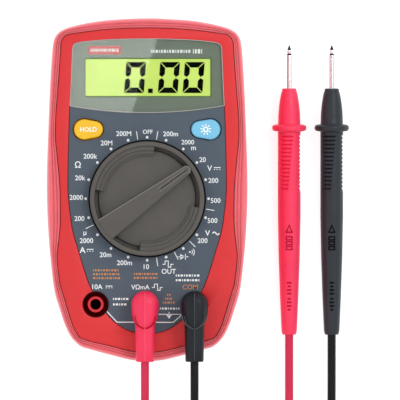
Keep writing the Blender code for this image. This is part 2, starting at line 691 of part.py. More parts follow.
# ---------------------------------------------------------------- tilt stand

def make_stand():
    hinge_y, hinge_z = STAND_HINGE
    pivot = (0, hinge_y, hinge_z)
    leaf = box((-STAND_HALF_X, STAND_END_Y - hinge_y, STAND_LOW - hinge_z), (STAND_HALF_X, 0, 0))
    stand = add_part("tilt_stand", leaf, "red_plastic", pivot)
    barrel = lay_along(cylinder(BARREL_RADIUS, -STAND_HALF_X, STAND_HALF_X, sides=24), "X")
    join(stand, barrel, pivot)
    cut(stand, lay_along(cylinder(HINGE_BORE, -30 * MM, 30 * MM, sides=24), "X"), pivot)
    notch = cylinder(6 * MM, -4 * MM, 0.6 * MM - (hinge_z - STAND_LOW))
    cut(stand, notch, (0, STAND_END_Y + 0.5 * MM, hinge_z))
    pin = lay_along(cylinder(HINGE_PIN_RADIUS, -23.6 * MM, 23.6 * MM, sides=20), "X")
    add_part("stand_hinge_pin", pin, "steel", pivot)


# ---------------------------------------------------------------- selector

def scoop_outline(side):
    """Finger recess on one side of the grip bar, which points along +X."""
    start = math.atan2(BAR_TIP[1], BAR_TIP[0])
    end = math.atan2(BAR_TAIL[1], BAR_TAIL[0])
    angles = [start + (end - start) * i / 18 for i in range(19)]
    return [Vector((SCOOP_RADIUS * math.cos(a), side * SCOOP_RADIUS * math.sin(a))) for a in angles]


def make_knob(axis):
    knob = add_part("selector_knob", cylinder(KNOB_RADIUS, PANEL_LOW, KNOB_TOP, sides=64), "knob_plastic",
                    parent=axis)
    round_edges(knob, 0.6 * MM, 1)
    for side in (1, -1):
        cut(knob, plate(scoop_outline(side), SCOOP_FLOOR, KNOB_TOP + MM), parent=axis)
    join(knob, cylinder(SHAFT_RADIUS, ROTOR_TOP + GAP, PANEL_LOW + MM), parent=axis)


def box_beside(near, far, half_y, low, high, side):
    """Box from one distance to another along +X, or along -X where side is -1."""
    left, right = sorted((side * near, side * far))
    return box((left, -half_y, low), (right, half_y, high))


def make_detent(letter, side, axis):
    """One spring-loaded ball in the rotor's slot."""
    height = (ROTOR_LOW + ROTOR_TOP) / 2
    bm = bmesh.new()
    bmesh.ops.create_uvsphere(bm, u_segments=12, v_segments=8, radius=BALL_RADIUS)
    ball = finish_mesh(bm, "ball")
    add_part(f"detent_ball_{letter}", ball, "steel", (side * BALL_REACH, 0, height), axis)
    length = BALL_REACH - BALL_RADIUS - GAP - SPRING_FROM
    pitch = length / SPRING_RIDGES
    thin, thick = SPRING_RADII
    profile = [(0, length)]
    for i in range(SPRING_RIDGES):
        profile += [(thin, length - i * pitch), (thick, length - (i + 0.5) * pitch)]
    profile += [(thin, 0), (0, 0)]
    spring = turned(f"detent_spring_{letter}", profile, "steel", (side * SPRING_FROM, 0, height), axis, 10)
    spring.rotation_euler = (0, side * math.pi / 2, 0)


def make_wiper(letter, side, axis):
    """Contact leaf under the rotor, with two dimples that slide on the board."""
    leaf = box_beside(5 * MM, 9.6 * MM, 6 * MM, WIPER_LOW, ROTOR_LOW - GAP, side)
    wiper = add_part(f"wiper_spring_{letter}", leaf, "brass", parent=axis)
    for y in (-4.5 * MM, 4.5 * MM):
        dimple = cylinder(0.8 * MM, ON_BOARD, WIPER_LOW + 0.2 * MM, sides=12, centre=(side * 7.3 * MM, y))
        join(wiper, dimple, parent=axis)


def make_detent_ring():
    """Fixed ring whose inner wall has one notch for each switch position."""
    notches = []
    for i in range(DETENTS * 4):
        angle = 2 * math.pi * i / (DETENTS * 4)
        depth = NOTCH_DEPTH * (1 + math.cos(DETENTS * (angle - POINTER_ANGLE))) / 2
        radius = DETENT_CREST + depth
        notches.append(Vector((radius * math.cos(angle), radius * math.sin(angle))))
    ring = plate(circle(DETENT_OUTER), ROTOR_LOW, CEILING - GAP, holes=[notches])
    add_part("detent_ring", ring, "white_plastic", (*DIAL_CENTRE, 0))


def make_selector():
    axis = bpy.data.objects.new("dial_axis", None)
    parts.objects.link(axis)
    axis.location = (*DIAL_CENTRE, 0)
    axis.rotation_euler = (0, 0, POINTER_ANGLE)
    make_knob(axis)
    rotor = add_part("switch_rotor", cylinder(ROTOR_RADIUS, ROTOR_LOW, ROTOR_TOP, sides=48),
                     "white_plastic", parent=axis)
    for letter, side in (("a", 1), ("b", -1)):
        slot = box_beside(SPRING_FROM - 0.4 * MM, ROTOR_RADIUS + MM, BALL_RADIUS + 0.35 * MM,
                          ROTOR_LOW - MM, ROTOR_TOP + MM, side)
        cut(rotor, slot, parent=axis)
        make_detent(letter, side, axis)
        make_wiper(letter, side, axis)
    make_detent_ring()


def make_buttons():
    dome = [
        (0, ON_BOARD + 0.6 * MM), (2 * MM, ON_BOARD + 0.5 * MM), (3.4 * MM, ON_BOARD + 0.2 * MM),
        (3.4 * MM, ON_BOARD), (0, ON_BOARD),
    ]
    for name, side, finish in (("hold", -1, "yellow_rubber"), ("backlight", 1, "blue_rubber")):
        place = (*button_place(side), 0)
        cap = add_part(f"{name}_button_cap", plate(button_outline(side), FLANGE_TOP - 0.5 * MM, BUTTON_TOP),
                       finish, place)
        round_edges(cap, 0.6 * MM, 1)
        join(cap, plate(button_outline(side, BUTTON_FLANGE), FLANGE_LOW, FLANGE_TOP), place)
        plunger = cylinder(1.6 * MM, PLUNGER_LOW, FLANGE_LOW - GAP, sides=20)
        add_part(f"{name}_plunger", plunger, "black_plastic", place)
        turned(f"{name}_dome_switch", dome, "steel", place)


# ---------------------------------------------------------------- jacks, plugs, leads, probes

def make_jacks():
    foot_top = WELL_LOW - GAP
    foot_low = foot_top - 1.2 * MM
    foot = 5.4 * MM
    profile = [
        (SOCKET_BORE, SOCKET_TOP), (SOCKET_OUTER, SOCKET_TOP), (SOCKET_OUTER, foot_top),
        (foot, foot_top), (foot, foot_low), (SOCKET_BORE, foot_low),
    ]
    for name, x in JACK_X.items():
        turned(f"input_jack_{name}", profile, "brass", (x, JACK_Y, 0), closed=True)


def boot_outline():
    """Plug head seen from above: round at the top, drawn in to a blunt point over the tail."""
    points = []
    for i in range(13):
        angle = math.radians(-10 + 200 * i / 12)
        points.append(Vector((BOOT_RADIUS * math.cos(angle), BOOT_RADIUS * math.sin(angle))))
    left = [(-5, -2.6), (-4.1, -6.2), (-2.5, -8.6)]
    right = [(-x, y) for x, y in reversed(left)]
    return points + to_metres([*left, (0, -9.1), *right])


def make_plugs():
    for colour, jack, finish in (("red", "vohm", "plug_red"), ("black", "com", "black_plastic")):
        place = (JACK_X[jack], JACK_Y, 0)
        boot = add_part(f"{colour}_plug_boot", plate(boot_outline(), BOOT_LOW, BOOT_TOP), finish, place)
        round_edges(boot, 1.2 * MM, 1)
        tail = cylinder(TAIL_RADII[0], 0, TAIL_START_Y - BOOT_END_Y, top_radius=TAIL_RADII[1])
        join(boot, lay_along(tail, "Y"), (JACK_X[jack], TAIL_START_Y, TAIL_Z))
        join(boot, cylinder(SLEEVE_RADII[0], SLEEVE_LOW, BOOT_LOW + MM), place)
        cut(boot, cylinder(SLEEVE_RADII[1], SLEEVE_LOW - MM, BOOT_LOW - GAP), place)
        cut(boot, cylinder(PIN_RADIUS + GAP, SLEEVE_LOW, PIN_TOP + GAP), place)
        profile = [(0, PIN_TOP), (PIN_RADIUS, PIN_TOP), (PIN_RADIUS, PIN_LOW + 1.5 * MM),
                   (PIN_RADIUS * 0.5, PIN_LOW), (0, PIN_LOW)]
        turned(f"{colour}_plug_pin", profile, "steel", place)


def make_leads():
    for name, points in ROUTES.items():
        finish = "lead_red" if name.startswith("red") else "lead_black"
        wire(name, points, LEAD_RADIUS, finish, LEAD_STEP)
    edge = 2.0 * MM
    profile = [(COIL_INNER, COIL_TOP - edge), (COIL_INNER + edge, COIL_TOP), (COIL_OUTER - edge, COIL_TOP),
               (COIL_OUTER, COIL_TOP - edge), (COIL_OUTER, COIL_LOW + edge), (COIL_OUTER - edge, COIL_LOW),
               (COIL_INNER + edge, COIL_LOW), (COIL_INNER, COIL_LOW + edge)]
    for colour, (x, y) in COIL_CENTRES.items():
        turned(f"{colour}_lead_coil", profile, f"lead_{colour}", (x * MM, y * MM, 0), closed=True)


def make_probes():
    nose, flange, socket = PROBE_LENGTH, FLANGE_FROM_TAIL, NEEDLE_SOCKET
    bore = NEEDLE_RADIUS + GAP
    rim = FLANGE_RADIUS - 0.45 * MM
    handle = [
        (0, socket), (bore, socket), (bore, nose), (2.6 * MM, nose), (2.9 * MM, nose - 0.4 * MM),
        (3.5 * MM, nose - 5 * MM), (4.1 * MM, nose - 10 * MM), (4.3 * MM, flange + 1.2 * MM),
        (rim, flange + 1.2 * MM), (FLANGE_RADIUS, flange + 0.7 * MM), (FLANGE_RADIUS, flange - 0.7 * MM),
        (rim, flange - 1.2 * MM), (4.4 * MM, flange - 1.2 * MM), (4.4 * MM, 46 * MM), (4.1 * MM, 30 * MM),
        (3.6 * MM, 14 * MM), (3.0 * MM, 1.6 * MM), (2.75 * MM, 0), (0, 0),
    ]
    tip = NEEDLE_TIP
    needle = [
        (0, tip), (0.85 * MM, tip - 2 * MM), (0.95 * MM, tip - 2.6 * MM), (0.6 * MM, tip - 3.6 * MM),
        (NEEDLE_RADIUS, tip - 4 * MM), (NEEDLE_RADIUS, socket + GAP), (0, socket + GAP),
    ]
    for colour, x in PROBE_X.items():
        finish = "plug_red" if colour == "red" else "black_plastic"
        for name, profile, look in (("handle", handle, finish), ("needle", needle, "steel")):
            piece = turned(f"{colour}_probe_{name}", profile, look, (x, *PROBE_TAIL), steps=16)
            piece.rotation_euler = (PROBE_TILT - math.pi / 2, 0, 0)


def main():
    global parts, cutters
    clear_scene()
    parts = new_collection("digital_multimeter")
    cutters = new_collection("cutters")
    make_holster()
    make_front_case()
    make_rear_case()
    make_battery_cover()
    make_face()
    make_display()
    make_board()
    make_fasteners()
    make_fuse()
    make_shunt()
    make_battery()
    make_stand()
    make_selector()
    make_buttons()
    make_jacks()
    make_plugs()
    make_leads()
    make_probes()


main()
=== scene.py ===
"""Looks of a digital multimeter with its two test leads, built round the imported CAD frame.

Lengths are in metres unless a name or a table says millimetres. The meter lies on its back: +Z leaves
its face and +Y points to its display end.
"""

import json
import math

import bmesh
import bpy
from mathutils import Matrix, Vector


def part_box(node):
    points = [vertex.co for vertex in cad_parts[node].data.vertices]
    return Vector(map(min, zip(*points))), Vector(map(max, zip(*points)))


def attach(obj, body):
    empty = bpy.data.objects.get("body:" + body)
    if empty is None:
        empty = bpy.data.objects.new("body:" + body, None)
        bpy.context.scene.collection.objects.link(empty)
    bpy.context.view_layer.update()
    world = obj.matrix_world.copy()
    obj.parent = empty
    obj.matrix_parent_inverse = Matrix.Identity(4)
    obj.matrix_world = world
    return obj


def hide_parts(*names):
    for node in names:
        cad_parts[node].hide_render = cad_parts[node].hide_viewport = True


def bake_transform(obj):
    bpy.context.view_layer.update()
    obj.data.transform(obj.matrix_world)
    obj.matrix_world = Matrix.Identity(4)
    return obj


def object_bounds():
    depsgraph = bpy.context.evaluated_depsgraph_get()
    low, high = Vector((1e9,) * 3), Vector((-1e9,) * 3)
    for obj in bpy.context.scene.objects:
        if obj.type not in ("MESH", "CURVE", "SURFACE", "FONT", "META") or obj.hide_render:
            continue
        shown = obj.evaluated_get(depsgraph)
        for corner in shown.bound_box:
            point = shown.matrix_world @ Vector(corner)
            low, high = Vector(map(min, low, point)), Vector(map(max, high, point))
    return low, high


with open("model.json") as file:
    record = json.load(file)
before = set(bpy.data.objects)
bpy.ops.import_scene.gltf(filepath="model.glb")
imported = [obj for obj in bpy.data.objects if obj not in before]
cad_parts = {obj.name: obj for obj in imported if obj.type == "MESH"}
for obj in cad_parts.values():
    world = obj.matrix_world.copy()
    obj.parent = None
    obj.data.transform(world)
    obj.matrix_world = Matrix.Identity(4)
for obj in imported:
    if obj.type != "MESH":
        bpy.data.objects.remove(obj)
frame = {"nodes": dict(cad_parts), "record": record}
cad_low, cad_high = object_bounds()

MM = 0.001
GAP = 0.3 * MM

# Left halves of the closed outlines in millimetres, from the top of the centre line to its bottom.
HOLSTER_HALF = [
    (0, 65.95), (-14.3, 65.3), (-22, 64.3), (-27.7, 63.1), (-31.6, 61.9), (-34.4, 60.1), (-35.9, 57.3),
    (-36.6, 51.7), (-37.3, 40.2), (-38, 22.9), (-38.5, 8), (-38.5, -4), (-38.1, -14), (-37.3, -25),
    (-35.7, -38.5), (-33.5, -46.2), (-31.6, -51.9), (-29.2, -56.6), (-25.8, -60), (-22, -61.3),
    (-14.3, -63.4), (-6.6, -65.3), (0, -65.95),
]
CASE_HALF = [
    (0, 62.1), (-14.3, 61.6), (-27.7, 60), (-31.4, 59), (-32.9, 56.5), (-33.2, 52), (-34.2, 38.3),
    (-35, 28), (-35.1, 20), (-34.4, 12.6), (-33.5, 3), (-33.2, -6), (-33.3, -14), (-34, -21),
    (-34.5, -26), (-33.5, -35.4), (-32.1, -40.4), (-28.9, -50.8), (-27.3, -54.4), (-24.6, -57.2),
    (-14.3, -59.8), (-6.6, -61.7), (0, -62.4),
]
FACE_HALF = [
    (0, 58.2), (-14.3, 57.9), (-24, 57.1), (-27.4, 56.4), (-28.7, 54.8), (-29, 49.8), (-29.5, 38.3),
    (-29.9, 30.6), (-30.4, 15.3), (-30.6, 1), (-30.1, -6), (-28.8, -15.5), (-26.6, -23.1),
    (-24.3, -30.8), (-21.4, -38.5), (-15.4, -48), (-11.2, -51.9), (-6.6, -54.4), (0, -55.6),
]
ARC_RADIUS = 165.8 * MM
ARC_CENTRE = Vector((0, 195.3 * MM))

# Heights and places, read from the frame.
face_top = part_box("front_case")[1].z
panel_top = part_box("front_panel")[1].z
panel_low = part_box("front_panel")[0].z
lens_low, lens_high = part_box("display_lens")
glass_low, glass_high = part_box("lcd_panel")
knob_low, knob_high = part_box("selector_knob")
dial_centre = (knob_low + knob_high) / 2
KNOB_TOP = knob_high.z
jack_centres = {}
for jack in ("10a", "vohm", "com"):
    jack_low, jack_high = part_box(f"input_jack_{jack}")
    jack_centres[jack] = (jack_low + jack_high) / 2
    socket_top = jack_high.z
button_centres = {}
for button in ("hold", "backlight"):
    button_low, button_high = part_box(f"{button}_button_cap")
    button_centres[button] = (button_low + button_high) / 2
    button_top = button_high.z


# ---- colours and materials

def srgb(red, green, blue):
    """Linear colour of an 8-bit one."""
    channels = []
    for value in (red, green, blue):
        share = value / 255
        channels.append(share / 12.92 if share <= 0.04045 else ((share + 0.055) / 1.055) ** 2.4)
    return (*channels, 1)


def scaled(colour, factor):
    return (*[min(1.0, channel * factor) for channel in colour[:3]], 1)


MATERIALS = {}


class Surface:
    """A Principled material and the nodes that vary it over the object's own coordinates."""

    def __init__(self, name):
        self.material = bpy.data.materials.new(name)
        self.material.use_nodes = True
        self.nodes = self.material.node_tree.nodes
        self.links = self.material.node_tree.links
        self.shader = self.nodes["Principled BSDF"]
        self.place = self.nodes.new("ShaderNodeTexCoord").outputs["Object"]
        MATERIALS[name] = self.material

    def set(self, **values):
        for socket, value in values.items():
            self.shader.inputs[socket.replace("_", " ")].default_value = value

    def noise(self, size, detail=2.0, stretch=(1, 1, 1)):
        """Noise whose lumps are about the given size in metres."""
        mapping = self.nodes.new("ShaderNodeMapping")
        mapping.inputs["Scale"].default_value = [1 / (size * s) for s in stretch]
        self.links.new(self.place, mapping.inputs["Vector"])
        noise = self.nodes.new("ShaderNodeTexNoise")
        noise.inputs["Scale"].default_value = 1.0
        noise.inputs["Detail"].default_value = detail
        self.links.new(mapping.outputs["Vector"], noise.inputs["Vector"])
        return noise.outputs["Fac"]

    def spread(self, value, low, high):
        """A 0 to 1 value spread over another range."""
        node = self.nodes.new("ShaderNodeMapRange")
        node.inputs["From Min"].default_value = 0.3
        node.inputs["From Max"].default_value = 0.7
        node.inputs["To Min"].default_value = low
        node.inputs["To Max"].default_value = high
        self.links.new(value, node.inputs["Value"])
        return node.outputs["Result"]

    def blend_colours(self, value, first, second):
        ramp = self.nodes.new("ShaderNodeValToRGB")
        ramp.color_ramp.elements[0].position = 0.3
        ramp.color_ramp.elements[0].color = first
        ramp.color_ramp.elements[1].position = 0.7
        ramp.color_ramp.elements[1].color = second
        self.links.new(value, ramp.inputs["Fac"])
        self.links.new(ramp.outputs["Color"], self.shader.inputs["Base Color"])

    def bump(self, value, depth, strength):
        node = self.nodes.new("ShaderNodeBump")
        node.inputs["Strength"].default_value = strength
        node.inputs["Distance"].default_value = depth
        self.links.new(value, node.inputs["Height"])
        self.links.new(node.outputs["Normal"], self.shader.inputs["Normal"])


def moulded(name, colour, roughness, mottle=0.05, grain=0.25, depth=0.02, **values):
    """Moulded plastic or rubber: faint colour drift, uneven gloss, and a grain sized in millimetres."""
    surface = Surface(name)
    colour = srgb(*colour)
    surface.blend_colours(surface.noise(9 * MM, 3), scaled(colour, 1 - mottle), scaled(colour, 1 + mottle))
    gloss = surface.spread(surface.noise(2.5 * MM, 4), roughness - 0.05, roughness + 0.06)
    surface.links.new(gloss, surface.shader.inputs["Roughness"])
    surface.bump(surface.noise(grain * MM, 2), depth * MM, 0.5)
    surface.set(**values)


def metal(name, colour, roughness, metallic=1.0):
    """Plated or drawn metal with an uneven shine."""
    surface = Surface(name)
    colour = srgb(*colour)
    surface.blend_colours(surface.noise(1.5 * MM, 3), scaled(colour, 0.88), scaled(colour, 1.08))
    lines = surface.noise(0.4 * MM, 2)
    gloss = surface.spread(lines, roughness * 0.7, roughness * 1.4)
    surface.links.new(gloss, surface.shader.inputs["Roughness"])
    surface.bump(lines, 0.004 * MM, 0.4)
    surface.set(Metallic=metallic)


def circuit_board():
    """Green solder mask with lighter copper tracks under it."""
    surface = Surface("circuit_board")
    surface.blend_colours(surface.noise(1.6 * MM, 0, (1, 4, 1)), srgb(12, 70, 34), srgb(40, 120, 60))
    surface.set(Roughness=0.35, Coat_Weight=0.4)
    surface.bump(surface.noise(0.9 * MM, 1), 0.03 * MM, 0.5)


LENS_IOR = 1.12


def clear_lens():
    """Clear polished plastic: what lies under it shows unbent, and its surface mirrors the room."""
    material = bpy.data.materials.new("clear_lens")
    material.use_nodes = True
    nodes, links = material.node_tree.nodes, material.node_tree.links
    nodes.remove(nodes["Principled BSDF"])
    see_through = nodes.new("ShaderNodeBsdfTransparent")
    see_through.inputs["Color"].default_value = (0.97, 0.985, 0.97, 1)
    mirror = nodes.new("ShaderNodeBsdfGlossy")
    mirror.inputs["Roughness"].default_value = 0.0
    fresnel = nodes.new("ShaderNodeFresnel")
    fresnel.inputs["IOR"].default_value = LENS_IOR
    mix = nodes.new("ShaderNodeMixShader")
    links.new(fresnel.outputs["Fac"], mix.inputs["Fac"])
    links.new(see_through.outputs["BSDF"], mix.inputs[1])
    links.new(mirror.outputs["BSDF"], mix.inputs[2])
    links.new(mix.outputs["Shader"], nodes["Material Output"].inputs["Surface"])
    MATERIALS["clear_lens"] = material


def lcd_glass():
    """Backlit yellow-green liquid crystal glass, its tone drifting a little at random."""
    surface = Surface("lcd_glass")
    surface.blend_colours(surface.noise(14 * MM, 1), srgb(192, 211, 102), srgb(204, 223, 116))
    surface.set(Roughness=0.5, Specular_IOR_Level=0.1, Emission_Color=srgb(200, 240, 90),
                Emission_Strength=0.2, Coat_Weight=0.4, Coat_Roughness=0.0)
    surface.bump(surface.noise(0.2 * MM, 1), 0.004 * MM, 0.3)


# Finishes of the record's slots.
circuit_board()
clear_lens()
lcd_glass()
metal("steel", (200, 200, 202), 0.22)
metal("brass", (214, 178, 96), 0.28)
moulded("holster_rubber", (232, 104, 114), 0.6, 0.04, 0.35, 0.03, Sheen_Weight=0.3, Sheen_Roughness=0.5,
        Specular_IOR_Level=0.35)
moulded("case_plastic", (215, 40, 44), 0.42, 0.03, 0.2, 0.012, Specular_IOR_Level=0.4)
moulded("panel_plastic", (76, 87, 99), 0.5, 0.05, 0.18, 0.014, Specular_IOR_Level=0.3)
moulded("white_plastic", (222, 222, 214), 0.45)
moulded("dark_rubber", (46, 46, 48), 0.65)
moulded("black_plastic", (38, 38, 40), 0.45)
moulded("fuse_glass", (206, 214, 214), 0.12, 0.05, Coat_Weight=1.0)
moulded("battery_jacket", (58, 66, 84), 0.3, 0.08, Coat_Weight=0.6)
moulded("lead_red", (204, 30, 74), 0.42, 0.05, 0.5, 0.02, Specular_IOR_Level=0.35)
moulded("lead_black", (9, 9, 10), 0.42, 0.08, 0.5, 0.02, Specular_IOR_Level=0.2)
moulded("knob_plastic", (87, 84, 80), 0.55, 0.05, 0.16, 0.014, Specular_IOR_Level=0.25)
moulded("yellow_rubber", (240, 186, 24), 0.5, 0.04)
moulded("blue_rubber", (116, 190, 224), 0.5, 0.04)
# The jack sockets' red has a painted glow: it gives off red light of its own.
moulded("jack_red", (214, 30, 46), 0.3, 0.06, Coat_Weight=0.3, Emission_Color=srgb(255, 56, 70),
        Emission_Strength=0.2)
moulded("plug_red", (234, 40, 82), 0.45, 0.04, 0.25, 0.015, Specular_IOR_Level=0.4)
moulded("plug_black", (20, 24, 31), 0.45, 0.08, 0.25, 0.015, Specular_IOR_Level=0.25)

# Finishes of prints; of painted shade, shadow, highlight, reflection and glow on lines, edges, gaps and
# wells; and of parts whose colour differs from their slot's.
metal("needle_steel", (238, 238, 240), 0.28, 0.85)
# Painted reflection: dark strips, cone and band on the bright needle, standing in for what it mirrors.
metal("needle_painted_reflection", (44, 44, 46), 0.4)
metal("contact_brass", (150, 112, 60), 0.3)
moulded("lens_print", (114, 124, 112), 0.5, 0.04, 0.3, 0.004, Specular_IOR_Level=0.1, Coat_Weight=0.5,
        Coat_Roughness=0.0)
moulded("label_red", (206, 52, 60), 0.5, 0.04, 0.3, 0.004, Coat_Weight=0.5, Coat_Roughness=0.0)
# Painted highlight: a pale line for the light caught by the lens's edge.
moulded("lens_edge_painted_highlight", (186, 180, 178), 0.4, 0.04, 0.3, 0.004)
# Painted shadow: dark green for the shade that the lens border casts on the edge of the liquid crystal glass.
moulded("lcd_painted_shadow", (96, 132, 64), 0.5, 0.1, 0.3, 0.004)
moulded("lcd_black", (3, 6, 2), 0.8, 0.15, 0.3, 0.004, Specular_IOR_Level=0.0)
# Painted shadow: a near black ring round the mouth of each jack.
moulded("jack_painted_shadow_ring", (40, 2, 4), 0.4, 0.1, Specular_IOR_Level=0.1)
# Painted shade and glow: the wells' walls are darkened as if in shadow deep in the hole, and give off a faint
# red light of their own.
moulded("jack_well_painted_shade_and_glow", (92, 0, 0), 0.5, 0.08, Specular_IOR_Level=0.0, Emission_Color=srgb(255, 0, 0),
        Emission_Strength=0.02)
# Painted highlights and shade on the plugs: lighter lines along the ridges, and V lines darker on the red
# plug and lighter on the black.
moulded("seam_red", (246, 78, 112), 0.4, 0.04)
moulded("seam_black", (52, 58, 62), 0.4, 0.04)
moulded("crease_red", (188, 8, 50), 0.5, 0.04, Specular_IOR_Level=0.1)
moulded("crease_black", (62, 70, 70), 0.5, 0.04)
moulded("mark_red", (186, 18, 54), 0.5, 0.04, Specular_IOR_Level=0.1)
moulded("mark_black", (8, 10, 13), 0.6, 0.06, Specular_IOR_Level=0.05)
moulded("probe_red", (244, 52, 92), 0.45, 0.04, 0.25, 0.015, Specular_IOR_Level=0.4)
moulded("probe_black", (40, 45, 52), 0.45, 0.08, 0.25, 0.015, Specular_IOR_Level=0.3)
# Painted highlight: light lines on the edges of the knob's bar.
moulded("knob_bar_painted_highlight", (122, 119, 114), 0.5, 0.05)
# Painted shade: near black where gaps and the bottoms of holes lie in shadow.
moulded("painted_shade_dark", (22, 20, 20), 0.7, 0.1, Specular_IOR_Level=0.1)
moulded("white_print", (236, 240, 242), 0.5, 0.03, 0.2, 0.004)
moulded("pale_print", (250, 248, 240), 0.5, 0.03, 0.2, 0.004)
moulded("orange_print", (196, 128, 76), 0.5, 0.05, 0.2, 0.004)


# ---- objects

def new_object(name, data, material=None):
    """An object linked into the scene, with one material where one is named."""
    piece = bpy.data.objects.new(name, data)
    bpy.context.scene.collection.objects.link(piece)
    if material:
        dress(piece, material)
    return piece


def dress(piece, material):
    piece.data.materials.clear()
    piece.data.materials.append(MATERIALS[material])


def add_print(name, mesh, body, look):
    """A print or other small surface that belongs to no slot of the record."""
    piece = new_object(name, mesh, look)
    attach(piece, body)


def add_piece(name, mesh, body, slot, replaces=(), look=None):
    """A shown piece that rides on a body, takes a slot's finish and stands for the CAD nodes named."""
    piece = new_object(name, mesh, look or slot)
    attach(piece, body)
    if replaces:
        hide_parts(*replaces)
    return piece


def finish_cad_nodes():
    for part in frame["record"]["subparts"]:
        dress(frame["nodes"][part["node"]], part["material_slot"])


def mesh_of(guide):
    """The mesh that an object's curves or modifiers come to; the object itself goes."""
    bpy.context.view_layer.update()
    graph = bpy.context.evaluated_depsgraph_get()
    mesh = bpy.data.meshes.new_from_object(guide.evaluated_get(graph))
    bpy.data.objects.remove(guide)
    return mesh


# ---- outlines

def catmull_rom(a, b, c, d, t):
    return 0.5 * (2 * b + (c - a) * t + (2 * a - 5 * b + 4 * c - d) * t**2 + (3 * b - a - 3 * c + d) * t**3)


def closed_outline(half, per_span=6):
    """Smooth closed outline through a left half in millimetres and its mirror image."""
    ring = [Vector(point) * MM for point in half]
    ring += [Vector((-point[0], point[1])) * MM for point in reversed(half[1:-1])]
    count = len(ring)
    fine = []
    for i in range(count):
        around = [ring[(i + k) % count] for k in (-1, 0, 1, 2)]
        fine += [catmull_rom(*around, k / per_span) for k in range(per_span)]
    return fine


def outward(outline):
    """Unit normals that point out of an outline which runs anticlockwise from its top."""
    normals = []
    for i in range(len(outline)):
        along = (outline[(i + 1) % len(outline)] - outline[i - 1]).normalized()
        normals.append(Vector((along.y, -along.x)))
    return normals


def grown(outline, distance):
    return [point + normal * distance for point, normal in zip(outline, outward(outline))]


def smooth_path(places, spacing):
    """Points about one spacing apart on a smooth curve through the places."""
    ends = [2 * places[0] - places[1], *places, 2 * places[-1] - places[-2]]
    fine = []
    for i in range(1, len(ends) - 2):
        steps = max(1, round((ends[i + 1] - ends[i]).length / spacing))
        fine += [catmull_rom(*ends[i - 1:i + 3], k / steps) for k in range(steps)]
    return fine + [places[-1]]


# ---- meshes

def finished(bm, name, smooth_angle=35):
    bmesh.ops.recalc_face_normals(bm, faces=bm.faces)
    mesh = bpy.data.meshes.new(name)
    bm.to_mesh(mesh)
    bm.free()
    mesh.shade_smooth()
    mesh.set_sharp_from_angle(angle=math.radians(smooth_angle))
    return mesh


def add_rings(bm, rings, capped=True, looped=False):
    """Skins a row of rings that have the same number of points; looped joins the last to the first."""
    rows = [[bm.verts.new(point) for point in ring] for ring in rings]
    count = len(rows[0])
    pairs = list(zip(rows, rows[1:]))
    if looped:
        pairs.append((rows[-1], rows[0]))
    for row, other in pairs:
        for i in range(count):
            bm.faces.new((row[i], row[(i + 1) % count], other[(i + 1) % count], other[i]))
    if capped and not looped:
        bm.faces.new(rows[0])
        bm.faces.new(rows[-1])


def tube_rings(path, radius_at, sides):
    """Rings round a path, turned as little as possible from one to the next."""
    rings = []
    side = None
    for i, point in enumerate(path):
        along = (path[min(i + 1, len(path) - 1)] - path[max(i - 1, 0)]).normalized()
        if side is None:
            side = along.orthogonal().normalized()
        side = (side - along * side.dot(along)).normalized()
        other = along.cross(side)
        radius = radius_at(i)
        turns = [2 * math.pi * k / sides for k in range(sides)]
        rings.append([point + (side * math.cos(a) + other * math.sin(a)) * radius for a in turns])
    return rings


def skinned(rings, name, smooth_angle=35, looped=False):
    bm = bmesh.new()
    add_rings(bm, rings, looped=looped)
    return finished(bm, name, smooth_angle)


# ---- holster

LIP_INSET = 0.25 * MM
# The holster's cross-section over the rolled lip and down the outside: (share of the band's width,
# height in millimetres).
HOLSTER_OUTSIDE = [
    (0.0, 31.0), (0.0, 32.2), (0.03, 32.6), (0.06, 32.8), (0.11, 32.9), (0.16, 32.8), (0.195, 32.5),
    (0.215, 32.2), (0.235, 32.5), (0.28, 32.95), (0.34, 33.2), (0.40, 33.15), (0.45, 32.85), (0.475, 32.45),
    (0.5, 32.8), (0.56, 33.2), (0.64, 33.4), (0.72, 33.3), (0.80, 32.9), (0.87, 32.2), (0.93, 31.3),
    (0.97, 30.1), (0.99, 28.6), (1.0, 26.5), (1.0, 17.0), (0.985, 16.6), (0.93, 16.3), (0.93, 15.5),
    (0.985, 15.2), (1.0, 14.8), (1.0, 5.0), (0.99, 3.2), (0.95, 1.6), (0.87, 0.6), (0.75, 0.12), (0.6, 0.0),
]
# Round the back lip: (distance out from the case line, height), both in millimetres.
HOLSTER_BACK_LIP = [
    (-1.8, 0.0), (-2.1, 0.2), (-2.2, 0.6), (-2.2, 1.6), (-2.1, 1.9), (-1.8, 2.0), (0.25, 2.0),
]


def reach(point, direction, outline):
    """How far a ray from a point inside a closed outline runs before it meets it."""
    nearest = 1.0
    for a, b in zip(outline, outline[1:] + outline[:1]):
        edge, offset = b - a, a - point
        slant = direction.x * edge.y - direction.y * edge.x
        if abs(slant) < 1e-12:
            continue
        along = (offset.x * edge.y - offset.y * edge.x) / slant
        share = (offset.x * direction.y - offset.y * direction.x) / slant
        if along > 0 and 0 <= share <= 1:
            nearest = min(nearest, along)
    return nearest


def make_holster():
    inner = closed_outline(CASE_HALF, 8)
    outer = closed_outline(HOLSTER_HALF, 8)
    rings = []
    for point, normal in zip(inner, outward(inner)):
        width = reach(point, normal, outer) - LIP_INSET
        section = [(LIP_INSET + share * width, height) for share, height in HOLSTER_OUTSIDE]
        section += [(inset * MM, height) for inset, height in HOLSTER_BACK_LIP]
        rings.append([Vector((*(point + normal * away), height * MM)) for away, height in section])
    mesh = skinned(rings, "holster", 50, looped=True)
    add_piece("holster_rubber_body", mesh, "meter", "holster_rubber", ["holster"])


# ---- case, panel and lens

def prism(bm, outline, low, high):
    add_rings(bm, [[Vector((p[0], p[1], height)) for p in outline] for height in (low, high)])


